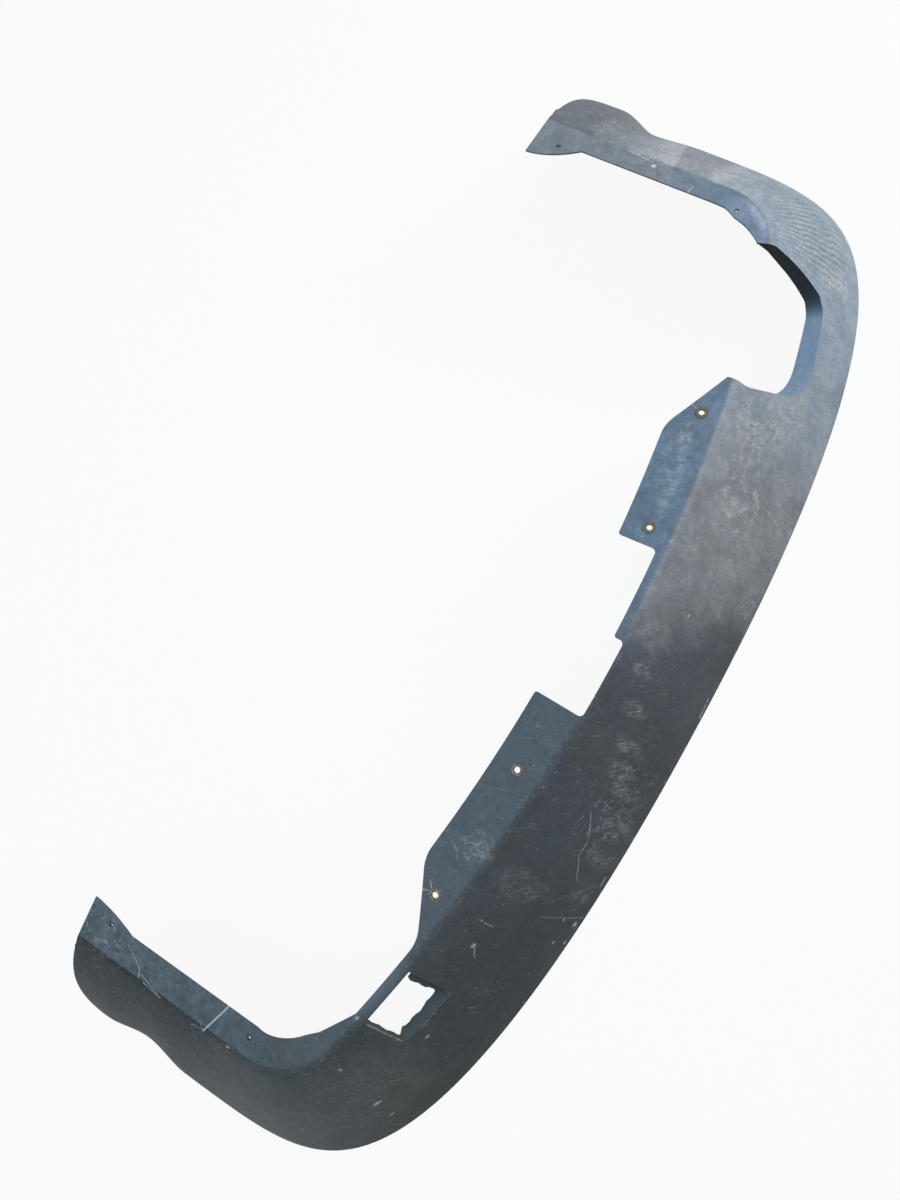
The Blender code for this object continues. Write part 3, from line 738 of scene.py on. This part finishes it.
# Chips on the skin: middle along and down, half size and strength.
CHIPS = [
    (0.122, 0.093, 0.0050, 0.5),
    (-0.408, 0.073, 0.0055, 0.6),
    (-0.326, 0.248, 0.0065, 0.8),
    (-0.355, 0.254, 0.0045, 0.7),
    (-0.361, 0.225, 0.0040, 0.6),
    (-0.325, 0.212, 0.0036, 0.6),
    (-0.646, 0.152, 0.0052, 0.9),
    (-0.649, 0.205, 0.0032, 0.7),
    (-0.637, 0.037, 0.0030, 0.6),
    (-0.549, 0.120, 0.0044, 0.6),
    (-0.782, 0.002, 0.0034, 0.9),
    (0.868, -0.018, 0.0056, 0.9),
    (-0.567, -0.005, 0.0044, 0.5),
    (0.676, 0.020, 0.0036, 0.8),
    (0.640, 0.150, 0.0036, 0.7),
]

# Smears of dust on the skin: middle along and down, half length, half height and strength.
SMEARS = [
    (0.648, 0.180, 0.016, 0.060, 0.8),
    (0.634, 0.050, 0.018, 0.045, 0.6),
    (0.450, 0.140, 0.045, 0.075, 0.45),
    (0.375, 0.060, 0.040, 0.060, 0.40),
    (0.280, 0.085, 0.022, 0.030, 0.55),
    (0.318, 0.128, 0.018, 0.022, 0.55),
    (0.790, 0.060, 0.050, 0.080, 0.30),
    (0.960, 0.050, 0.030, 0.110, 0.35),
    (0.024, 0.056, 0.016, 0.036, 0.44),
    (-0.026, 0.084, 0.017, 0.044, 0.44),
    (-0.073, 0.110, 0.016, 0.050, 0.46),
    (-0.108, 0.132, 0.018, 0.058, 0.50),
    (-0.130, 0.160, 0.016, 0.054, 0.50),
    (-0.178, 0.190, 0.030, 0.080, 0.46),
    (-0.225, 0.210, 0.024, 0.060, 0.34),
    (-0.280, 0.215, 0.030, 0.050, 0.30),
    (-0.306, 0.080, 0.030, 0.080, 0.22),
    (-0.295, -0.014, 0.022, 0.024, 0.40),
    (0.255, -0.030, 0.060, 0.016, 0.30),
    (0.330, -0.040, 0.030, 0.020, 0.35),
]

# Rubbed places with curly scuffs: middle along and down, half length, half height and strength.
SCUFFS = [
    (-1.020, -0.030, 0.065, 0.050, 0.34),
    (-0.940, -0.022, 0.040, 0.026, 0.26),
    (0.300, 0.095, 0.075, 0.080, 0.62),
    (0.400, 0.075, 0.080, 0.080, 0.55),
    (0.300, -0.036, 0.090, 0.034, 0.24),
    (-0.150, 0.150, 0.120, 0.110, 0.22),
    (0.640, 0.060, 0.060, 0.110, 0.34),
    (0.800, 0.060, 0.120, 0.090, 0.30),
    (0.960, 0.080, 0.080, 0.100, 0.28),
    (-0.300, -0.030, 0.060, 0.034, 0.30),
]

# Ovals where the painted sky sheen on the flange has its own tint: beside the exhaust cut-out, a
# painted highlight on the bend there,
# and at the left corner: middle along and down, half length, half height, share and colour.
SKY_SHEEN_SPOTS = [
    (0.655, -0.010, 0.100, 0.090, 1.0, (0.172, 0.220, 0.304)),
    (0.690, -0.010, 0.050, 0.012, 0.5, (0.42, 0.48, 0.58)),
    (-0.660, -0.020, 0.120, 0.070, 0.8, (0.084, 0.092, 0.096)),
]

# The strap over the recess and the dusty face of the left corner, given like a smear.
STRAP = (-0.522, -0.001, 0.075, 0.018, 0.5)
LEFT_CORNER_DUST = (-0.71, 0.11, 0.20, 0.17, 0.22)

# Strength of the rust stain round each hole of the centre flange, and sizes of stains and of the
# painted shade round the arms' holes.
STAIN_SHARES = (0.9, 0.25, 0.35, 0.45)
STAIN_RADIUS = 0.017
HOLE_SHADE_RADIUS = 0.006

# Colours of the outer skin.
PLASTIC_DARK = (0.045, 0.050, 0.053)
PLASTIC_PALE = (0.060, 0.066, 0.070)
# Painted shade: the plastic made darker towards the left and darkest on the left arm.
SHADED_PLASTIC_LEFT = (0.041, 0.046, 0.045)
SHADED_PLASTIC_LEFT_ARM = (0.021, 0.026, 0.027)
# Painted sky reflection: bluish plastic from the middle to the right and on the right arm.
SKY_SHEEN_PLASTIC = (0.046, 0.055, 0.077)
SKY_SHEEN_PLASTIC_RIGHT_ARM = (0.066, 0.081, 0.104)
MOTTLE_COLOUR = (0.080, 0.085, 0.087)
CLOUD_COLOUR = (0.088, 0.091, 0.089)
# Painted sky sheen on the flanges, which face up: lighter and bluer on the right.
SKY_SHEEN_LEFT_ARM = (0.128, 0.148, 0.160)
SKY_SHEEN_LEFT = (0.077, 0.096, 0.111)
SKY_SHEEN_RIGHT = (0.130, 0.182, 0.244)
SKY_SHEEN_RIGHT_ARM = (0.186, 0.204, 0.222)
STRAP_COLOUR = (0.120, 0.150, 0.172)
DUST_LEFT = (0.270, 0.262, 0.235)
DUST_MIDDLE = (0.290, 0.298, 0.316)
# Painted sky reflection: the dust made bluish on the right.
SKY_SHEEN_DUST_RIGHT = (0.236, 0.288, 0.346)
SKY_SHEEN_DUST_RIGHT_ARM = (0.282, 0.308, 0.340)
DUST_CLOUD = (0.330, 0.316, 0.292)
SMEAR_COLOUR = (0.42, 0.41, 0.39)
WIPED_DARK = (0.125, 0.148, 0.176)
WIPED_PALE = (0.42, 0.44, 0.46)
MARK_COLOUR = (0.46, 0.465, 0.45)
EDGE_WEAR_COLOUR = (0.30, 0.28, 0.26)
STAIN_COLOUR = (0.120, 0.085, 0.060)
# Painted shade: dark rings round the arms' holes.
HOLE_SHADE_COLOUR = (0.012, 0.013, 0.014)

# Turn of streaks on the skin away from straight down the face, and of the flecks that cross them.
STREAK_TURN = math.radians(-23)
CROSS_TURN = 0.4

# Slants of the border of the dust and painted sheen, and of the straight border on the right arm: along
# per distance down.
DUST_AND_SHEEN_SLANT = 0.42
ARM_BORDER_SLANT = 0.13

# Share of the colour below that a full film of dust and painted sheen hides.
DUST_AND_SHEEN_COVER = 0.84

# Stretch of blotches, which are taller than wide on the face.
SETTLING = (1, 1, 0.35)

# How far single strokes and chips waver, along and down.
SHAKE = (0.006, 0.006, 0)

# Specular levels of the weathered plastic, which is duller than new, and of the rusty steel.
PLASTIC_SHINE = 0.05
STEEL_SHINE = 0.2


class Skin(Nodes):
    """Nodes of the outer skin, with its coordinates and the noises that several marks share."""

    def __init__(self, name):
        super().__init__(name, PLASTIC_SHINE)
        self.place = self.add("ShaderNodeUVMap", {"uv_map": "skin"}).outputs["UV"]
        self.where = self.add("ShaderNodeTexCoord").outputs["Object"]
        split = self.add("ShaderNodeSeparateXYZ", Vector=self.place).outputs
        self.along, self.down = split["X"], split["Y"]
        self.on_face = self.span(self.down, -0.007, -0.001)
        self.arm_border = self.slanted(ARM_BORDER_SLANT)
        settled = self.vector("MULTIPLY", self.where, SETTLING)
        self.broad = self.noise(self.where, 6.0, 5.0, 0.6)
        self.blotch = self.noise(settled, 13.0, 4.0, 0.6, 0.8)
        self.cloud = self.noise(settled, 26.0, 6.0, 0.68, 0.5)
        self.mottle = self.noise(settled, 95.0, 6.0, 0.74)

    def slanted(self, slope):
        """Distance along the skin, counted from a line that slants down the face."""
        return self.math("SUBTRACT", self.along, self.math("MULTIPLY", self.down, slope))

    def streaks(self, scale, detail, roughness, distortion, turn=STREAK_TURN):
        """Noise drawn out by its scale along and down the skin."""
        drawn = self.scaled(self.place, (*scale, 1), turn)
        return self.noise(drawn, 1.0, detail, roughness, distortion)

    def area(self, mark):
        """Oval on the skin: middle along and down, half length, half height and strength."""
        return self.product(self.spot(self.place, *mark[:4]), mark[4])

    def specks(self, scale, near, far, low, high):
        """Round specks in those cells of a random pattern whose lot is high enough."""
        cells = self.add("ShaderNodeTexVoronoi", Vector=self.place, Scale=scale).outputs
        lot = self.add("ShaderNodeSeparateColor", Color=cells["Color"]).outputs["Red"]
        disc = self.span(cells["Distance"], near, far, 1.0, 0.0)
        return self.product(disc, self.span(lot, low, high))


def plastic_and_painted_light(n):
    """Plastic with random tone, darkened towards the left arm as painted shade, and bluish from the
    middle to the right as a painted sky reflection.
    """
    colour = n.mix(n.span(n.broad, 0.3, 0.7), PLASTIC_DARK, PLASTIC_PALE)
    # Painted shade, darker towards the left and darkest on the left arm.
    colour = n.mix(n.span(n.along, -0.45, -0.60, 0.0, 0.8), colour, SHADED_PLASTIC_LEFT)
    colour = n.mix(n.span(n.along, -0.70, -0.86, 0.0, 0.9), colour, SHADED_PLASTIC_LEFT_ARM)
    # Painted sky reflection: a bluish tint from the middle to the right, and on the right arm.
    bluish = n.product(n.span(n.along, -0.45, -0.15), n.span(n.blotch, 0.40, 0.60), 0.65)
    colour = n.mix(bluish, colour, SKY_SHEEN_PLASTIC)
    colour = n.mix(n.span(n.along, 0.70, 0.80, 0.0, 0.60), colour, SKY_SHEEN_PLASTIC_RIGHT_ARM)
    colour = n.mix(n.span(n.mottle, 0.40, 0.75, 0.0, 0.46), colour, MOTTLE_COLOUR)
    return n.mix(n.span(n.cloud, 0.52, 0.72, 0.0, 0.30), colour, CLOUD_COLOUR)


def sky_sheen_and_strap(n, colour):
    """Painted sky sheen on the flanges, which face up: bluer on the right, palest beside the exhaust
    cut-out, with a painted highlight on the bend there; and the strap.
    """
    sky_sheen = n.mix(n.span(n.along, -0.80, -0.56), SKY_SHEEN_LEFT_ARM, SKY_SHEEN_LEFT)
    sky_sheen = n.mix(n.span(n.along, -0.10, 0.22), sky_sheen, SKY_SHEEN_RIGHT)
    sky_sheen = n.mix(n.span(n.along, 0.76, 0.88), sky_sheen, SKY_SHEEN_RIGHT_ARM)
    for *oval, tint in SKY_SHEEN_SPOTS:
        sky_sheen = n.mix(n.area(oval), sky_sheen, tint)
    sheen_share = n.product(n.span(n.on_face, 0.0, 1.0, 0.80, 0.0),
                      n.span(n.cloud, 0.3, 0.7, 0.62, 1.14),
                      n.span(n.mottle, 0.3, 0.7, 0.74, 1.16))
    return n.mix(n.area(STRAP), n.mix(sheen_share, colour, sky_sheen), STRAP_COLOUR)


def dust_and_sheen_film(n):
    """How much dust lies, which also stands for painted sheen: on the right part up to a slanting
    border, thin at the arm's tip.
    """
    waver = n.math("MULTIPLY", n.math("SUBTRACT", n.cloud, 0.5), 0.10)
    border = n.math("ADD", n.slanted(DUST_AND_SHEEN_SLANT), waver)
    dust_and_sheen = n.math("ADD", n.span(border, -0.30, 0.03, 0.0, 0.08),
                  n.span(border, 0.0, 0.14, 0.0, 0.60))
    dust_and_sheen = n.math("ADD", dust_and_sheen, n.span(n.along, 0.18, 0.66, 0.0, 0.42))
    dust_and_sheen = n.math("ADD", dust_and_sheen, n.area(LEFT_CORNER_DUST))
    clean = n.product(n.span(n.arm_border, 0.838, 0.843, 1.0, 0.0), n.span(n.along, 0.770, 0.805))
    streak = n.streaks((330, 30), 4.0, 0.65, 0.3)
    return n.product(dust_and_sheen, n.span(n.along, 0.84, 1.00, 1.0, 0.24), n.on_face,
                     n.span(clean, 0.0, 1.0, 1.0, 0.62),
                     n.span(n.broad, 0.25, 0.75, 0.86, 1.10),
                     n.span(n.blotch, 0.34, 0.66, 0.86, 1.10),
                     n.span(n.cloud, 0.28, 0.72, 0.84, 1.14),
                     n.span(n.mottle, 0.3, 0.72, 0.82, 1.18),
                     n.span(streak, 0.3, 0.7, 0.94, 1.06))


def dust_and_sky_sheen_colour(n):
    """Dust, yellowish on the left, and bluish on the right as a painted sky reflection."""
    dust = n.mix(n.span(n.along, -0.2, 0.0), DUST_LEFT, DUST_MIDDLE)
    dust = n.mix(n.span(n.along, 0.24, 0.58), dust, SKY_SHEEN_DUST_RIGHT)
    dust = n.mix(n.span(n.along, 0.70, 0.80), dust, SKY_SHEEN_DUST_RIGHT_ARM)
    return n.mix(n.span(n.cloud, 0.50, 0.72, 0.0, 0.36), dust, DUST_CLOUD)


def smear_marks(n):
    """Smears, with a dusty patch that ends in a straight border on the right arm."""
    wisp = n.streaks((380, 44), 5.0, 0.72, 0.9)
    patch = n.product(n.span(n.arm_border, 0.840, 0.844), n.span(n.along, 0.925, 0.880),
                      n.span(n.down, -0.030, 0.010), 0.5)
    smears = n.most([n.area(smear) for smear in SMEARS] + [patch])
    return n.product(smears, n.span(wisp, 0.40, 0.62), n.span(n.mottle, 0.38, 0.62, 0.25, 1.0))


def wiped(n, colour):
    """Wavy wipe marks on the right corner."""
    wave = n.add("ShaderNodeTexWave", {"bands_direction": "X"}, Vector=n.place, Scale=58.0,
                 Distortion=5.0, Detail=2.0, Detail_Scale=0.5, Detail_Roughness=0.5).outputs["Fac"]
    corner = n.spot(n.place, 0.676, 0.120, 0.060, 0.160)
    corner = n.product(corner, n.span(n.cloud, 0.34, 0.52, 0.2, 1.0))
    colour = n.mix(n.product(corner, n.span(wave, 0.54, 0.14), 0.70), colour, WIPED_DARK)
    return n.mix(n.product(corner, n.span(wave, 0.84, 1.00), 0.20), colour, WIPED_PALE)


def fine_scratches(n, dust_and_sheen):
    """Curly scuffs where rubbing has left them, flecks over the dusty part and hairlines."""
    curl = n.math("ABSOLUTE", n.math("SUBTRACT", n.noise(n.place, 34.0, 2.5, 0.5, 1.2), 0.5))
    rubbed = n.most([n.area(scuff) for scuff in SCUFFS])
    scuffs = n.product(n.span(curl, 0.010, 0.045, 1.0, 0.0), rubbed, n.span(n.mottle, 0.44, 0.60))
    fleck = n.most([n.span(n.streaks((560, 90), 2.0, 0.5, 0.6), 0.62, 0.70),
                    n.span(n.streaks((110, 620), 2.0, 0.5, 0.6, CROSS_TURN), 0.66, 0.74)])
    fleck = n.product(fleck, n.span(dust_and_sheen, 0.1, 0.6, 0.25, 1.0), n.span(n.blotch, 0.42, 0.62), 0.52)
    hair = n.product(n.span(n.streaks((420, 16), 4.0, 0.6, 1.2), 0.60, 0.68),
                     n.span(n.noise(n.place, 11.0, 3.0), 0.48, 0.62), 0.20)
    return [scuffs, fleck, hair]


def single_marks(n):
    """Single strokes, chips and the crack, with loose specks and grit."""
    wobble = n.add("ShaderNodeTexNoise", Vector=n.place, Scale=70.0, Detail=3.0).outputs["Color"]
    wobble = n.vector("SUBTRACT", wobble, (0.5, 0.5, 0.5))
    shaken = n.vector("ADD", n.place, n.vector("MULTIPLY", wobble, SHAKE))
    strokes = n.most([n.stroke(shaken, mark) for mark in STROKES])
    strokes = n.product(strokes, n.span(n.noise(n.place, 190.0, 3.0, 0.7), 0.38, 0.54, 0.20, 1.0))
    chips = n.most([n.product(n.spot(shaken, along, down, size, size), share)
                    for along, down, size, share in CHIPS])
    cracks = n.most([n.stroke(n.place, mark) for mark in CRACKS])
    specks = n.product(n.specks(34.0, 0.022, 0.050, 0.80, 0.96), 0.50)
    grit = n.product(n.specks(150.0, 0.10, 0.22, 0.72, 0.95), n.span(n.cloud, 0.44, 0.60), 0.46)
    return [strokes, chips, cracks, specks, grit]


def edge_wear(n):
    """Chips along the rim and wear on the crease."""
    height = n.add("ShaderNodeSeparateXYZ", Vector=n.where).outputs["Z"]
    rim = n.product(n.span(height, 0.012, 0.002),
                    n.span(n.noise(n.place, 60.0, 4.0, 0.7), 0.58, 0.66), 0.6)
    crease = n.product(n.span(n.math("ABSOLUTE", n.down), 0.006, 0.001),
                       n.span(n.noise(n.place, 90.0, 4.0, 0.7), 0.52, 0.70), 0.26)
    return n.most([rim, crease])


def rust_stains(n):
    """Rust that has run from the eyelets."""
    speckle = n.noise(n.where, 420.0, 3.0, 0.6)
    stains = n.most([n.area((*hole, STAIN_RADIUS, STAIN_RADIUS, share))
                     for hole, share in zip(FLANGE_HOLES, STAIN_SHARES)])
    return n.product(stains, n.span(speckle, 0.35, 0.6), 0.7)


def hole_painted_shade(n):
    """Painted shade: dark rings round the arms' plain holes."""
    hole_shade = n.most([n.spot(n.place, *hole, HOLE_SHADE_RADIUS, HOLE_SHADE_RADIUS) for hole in ARM_HOLES])
    return n.product(hole_shade, 0.9)


def worn_plastic_with_painted_light():
    """Outer skin: grained dark plastic under dust, with smears, scratches and chips, and with painted
    shade, painted sky sheen and a painted highlight.
    """
    n = Skin("worn_plastic_with_painted_light")
    dust_and_sheen = dust_and_sheen_film(n)
    # Painted sky sheen on the flanges and the strap; the plastic's colour holds painted shade on the
    # left and a painted sky reflection on the right.
    colour = sky_sheen_and_strap(n, plastic_and_painted_light(n))
    # Dust, which also stands for painted sheen on the right part, made bluish there as a painted sky
    # reflection.
    colour = n.mix(n.product(dust_and_sheen, DUST_AND_SHEEN_COVER), colour, dust_and_sky_sheen_colour(n))
    colour = n.mix(smear_marks(n), colour, SMEAR_COLOUR)
    colour = wiped(n, colour)
    colour = n.mix(n.most(fine_scratches(n, dust_and_sheen) + single_marks(n)), colour, MARK_COLOUR)
    colour = n.mix(edge_wear(n), colour, EDGE_WEAR_COLOUR)
    colour = n.mix(rust_stains(n), colour, STAIN_COLOUR)
    # Painted shade: dark rings round the arms' holes.
    colour = n.mix(hole_painted_shade(n), colour, HOLE_SHADE_COLOUR)
    grain = n.bump(n.noise(n.where, 900.0, 2.0), 0.00012, 0.35)
    normal = n.bump(n.noise(n.where, 8.0, 2.0), 0.006, 0.25, grain)
    return n.finish(colour, n.span(dust_and_sheen, 0.0, 1.0, 0.52, 0.80), normal)


def opening_walls():
    """Walls of the recess and the exhaust collar: pale blue by the tab as painted sky light, and dark
    towards the arm as painted shade.
    """
    n = Nodes("opening_walls", PLASTIC_SHINE)
    place = n.add("ShaderNodeUVMap", {"uv_map": "skin"}).outputs["UV"]
    where = n.add("ShaderNodeTexCoord").outputs["Object"]
    along = n.add("ShaderNodeSeparateXYZ", Vector=place).outputs["X"]
    mottle = n.noise(where, 95.0, 6.0, 0.74)
    # The collar's pale blue is painted sky light, and its dark end towards the arm is painted shade.
    recess, collar, collar_end = (0.060, 0.072, 0.073), (0.203, 0.268, 0.354), (0.026, 0.029, 0.029)
    colour = n.mix(n.span(along, -0.1, 0.1), recess, collar)
    colour = n.mix(n.span(along, 0.600, 0.630), colour, collar_end)
    colour = n.mix(n.span(mottle, 0.35, 0.75, 0.0, 0.35), colour, (0.090, 0.096, 0.098))
    normal = n.bump(n.noise(where, 600.0, 3.0), 0.00015, 0.4)
    return n.finish(colour, n.span(mottle, 0.3, 0.7, 0.5, 0.75), normal)


def plain_back():
    """Inner side: smoother dark plastic with faint flow marks."""
    n = Nodes("moulding_back", PLASTIC_SHINE)
    where = n.add("ShaderNodeTexCoord").outputs["Object"]
    flow = n.noise(n.scaled(where, (6, 6, 40)), 1.0, 5.0, 0.6, 0.6)
    colour = n.mix(n.span(flow, 0.3, 0.7), (0.030, 0.034, 0.038), (0.046, 0.051, 0.056))
    normal = n.bump(n.noise(where, 260.0, 3.0), 0.0001, 0.3)
    return n.finish(colour, n.span(flow, 0.3, 0.7, 0.42, 0.6), normal)


def rusty_steel():
    """Steel eyelets: pitted brown rust over grey metal."""
    n = Nodes("rusty_steel_eyelet", STEEL_SHINE)
    where = n.add("ShaderNodeTexCoord").outputs["Object"]
    rust = n.span(n.noise(where, 320.0, 6.0, 0.7), 0.35, 0.62)
    brown = n.mix(n.noise(where, 900.0, 3.0), (0.064, 0.042, 0.028), (0.150, 0.100, 0.066))
    colour = n.mix(rust, (0.11, 0.10, 0.09), brown)
    n.put(n.span(rust, 0.0, 1.0, 0.60, 0.05), n.shader.inputs["Metallic"])
    normal = n.bump(n.noise(where, 1400.0, 4.0), 0.0002, 0.6)
    return n.finish(colour, n.span(rust, 0.0, 1.0, 0.4, 0.85), normal)


# The stage: a white ground just under the part, a soft world and two lamps.
WHITE = (1, 1, 1, 1)
GROUND_HALF_SIZE = 6.0
GROUND_DROP = 0.0005
GROUND_ROUGHNESS = 0.9
GROUND_WHITE_SHARE = 0.92
WORLD_COLOUR = (0.84, 0.92, 1.0, 1)
WORLD_STRENGTH = 0.24

# Lamps: name, place, target, size, power and colour.
LAMPS = [
    ("side", (2.1, -1.0, 1.7), (0.55, -0.1, 0.1), 1.6, 70, (1.0, 0.97, 0.93)),
    ("overhead", (-0.8, 0.6, 2.8), (-0.2, 0, 0), 2.2, 70, (0.62, 0.83, 1.0)),
]

# Camera at the photograph's viewing angle, nearly overhead and turned in the picture.
SENSOR_HEIGHT = 24
LENS = 18
CLIP_START = 0.01
CAMERA_RIGHT = Vector((0.489738, -0.852288, -0.183738))
CAMERA_UP = Vector((0.870018, 0.464007, 0.166615))
CAMERA_BACK = Vector((-0.056748, -0.241453, 0.968751))
CAMERA_PLACE = Vector((-0.09031, 0.07963, 1.42999)) + ORIGIN


def seeing_rays(tree):
    """1 for rays that see a surface straight, mirrored or through glass, and 0 for other light."""
    rays = tree.nodes.new("ShaderNodeLightPath").outputs
    seeing = rays["Is Camera Ray"]
    for kind in ("Is Glossy Ray", "Is Transmission Ray"):
        either = tree.nodes.new("ShaderNodeMath")
        either.operation = "MAXIMUM"
        tree.links.new(seeing, either.inputs[0])
        tree.links.new(rays[kind], either.inputs[1])
        seeing = either.outputs[0]
    return seeing


def blend_shaders(tree, factor, first, second, output):
    blend = tree.nodes.new("ShaderNodeMixShader")
    for source, socket in zip((factor, first.outputs[0], second.outputs[0]), blend.inputs):
        tree.links.new(source, socket)
    tree.links.new(blend.outputs[0], tree.nodes[output].inputs["Surface"])


def pale_floor():
    """White floor that still takes a soft shadow; what is seen of it is mostly plain white."""
    n = Nodes("pale_floor", 0.0)
    where = n.add("ShaderNodeTexCoord").outputs["Object"]
    tone = n.mix(n.noise(where, 3.0, 3.0), (0.44, 0.44, 0.44), (0.48, 0.48, 0.48))
    n.put(tone, n.shader.inputs["Base Color"])
    n.shader.inputs["Roughness"].default_value = GROUND_ROUGHNESS
    glow = n.add("ShaderNodeEmission", Color=WHITE, Strength=1.0)
    share = n.product(seeing_rays(n.tree), GROUND_WHITE_SHARE)
    blend_shaders(n.tree, share, n.shader, glow, "Material Output")
    return n.material


def add_floor():
    size = GROUND_HALF_SIZE
    data = bpy.data.meshes.new("floor")
    corners = [(-size, -size, 0), (size, -size, 0), (size, size, 0), (-size, size, 0)]
    data.from_pydata(corners, [], [(0, 1, 2, 3)])
    data.materials.append(pale_floor())
    floor = new_object("floor", data)
    floor.location.z = -GROUND_DROP


def add_world():
    world = bpy.data.worlds.new("studio")
    bpy.context.scene.world = world
    world.use_nodes = True
    tree = world.node_tree
    soft = tree.nodes["Background"]
    soft.inputs["Color"].default_value = WORLD_COLOUR
    soft.inputs["Strength"].default_value = WORLD_STRENGTH
    white = tree.nodes.new("ShaderNodeBackground")
    white.inputs["Color"].default_value = WHITE
    blend_shaders(tree, seeing_rays(tree), soft, white, "World Output")


def add_lamp(name, place, target, size, energy, colour):
    data = bpy.data.lights.new(name, "AREA")
    data.shape = "SQUARE"
    data.size = size
    data.energy = energy
    data.color = colour
    lamp = new_object(name, data)
    lamp.location = place
    lamp.rotation_euler = (Vector(target) - Vector(place)).to_track_quat("-Z", "Y").to_euler()


def add_camera():
    data = bpy.data.cameras.new("camera")
    data.sensor_fit = "VERTICAL"
    data.sensor_height = SENSOR_HEIGHT
    data.lens = LENS
    data.clip_start = CLIP_START
    camera = new_object("camera", data)
    turn = Matrix((CAMERA_RIGHT, CAMERA_UP, CAMERA_BACK)).transposed().to_4x4()
    camera.matrix_world = Matrix.Translation(CAMERA_PLACE) @ turn
    bpy.context.scene.camera = camera


cover = build_moulding([worn_plastic_with_painted_light(), plain_back(), opening_walls()])
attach(cover, "root")
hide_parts("cover_moulding")
steel = rusty_steel()
for name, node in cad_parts.items():
    if name != "cover_moulding":
        node.data.materials.clear()
        node.data.materials.append(steel)

add_floor()
add_world()
for lamp in LAMPS:
    add_lamp(*lamp)
add_camera()
bpy.context.scene.view_settings.view_transform = "Standard"
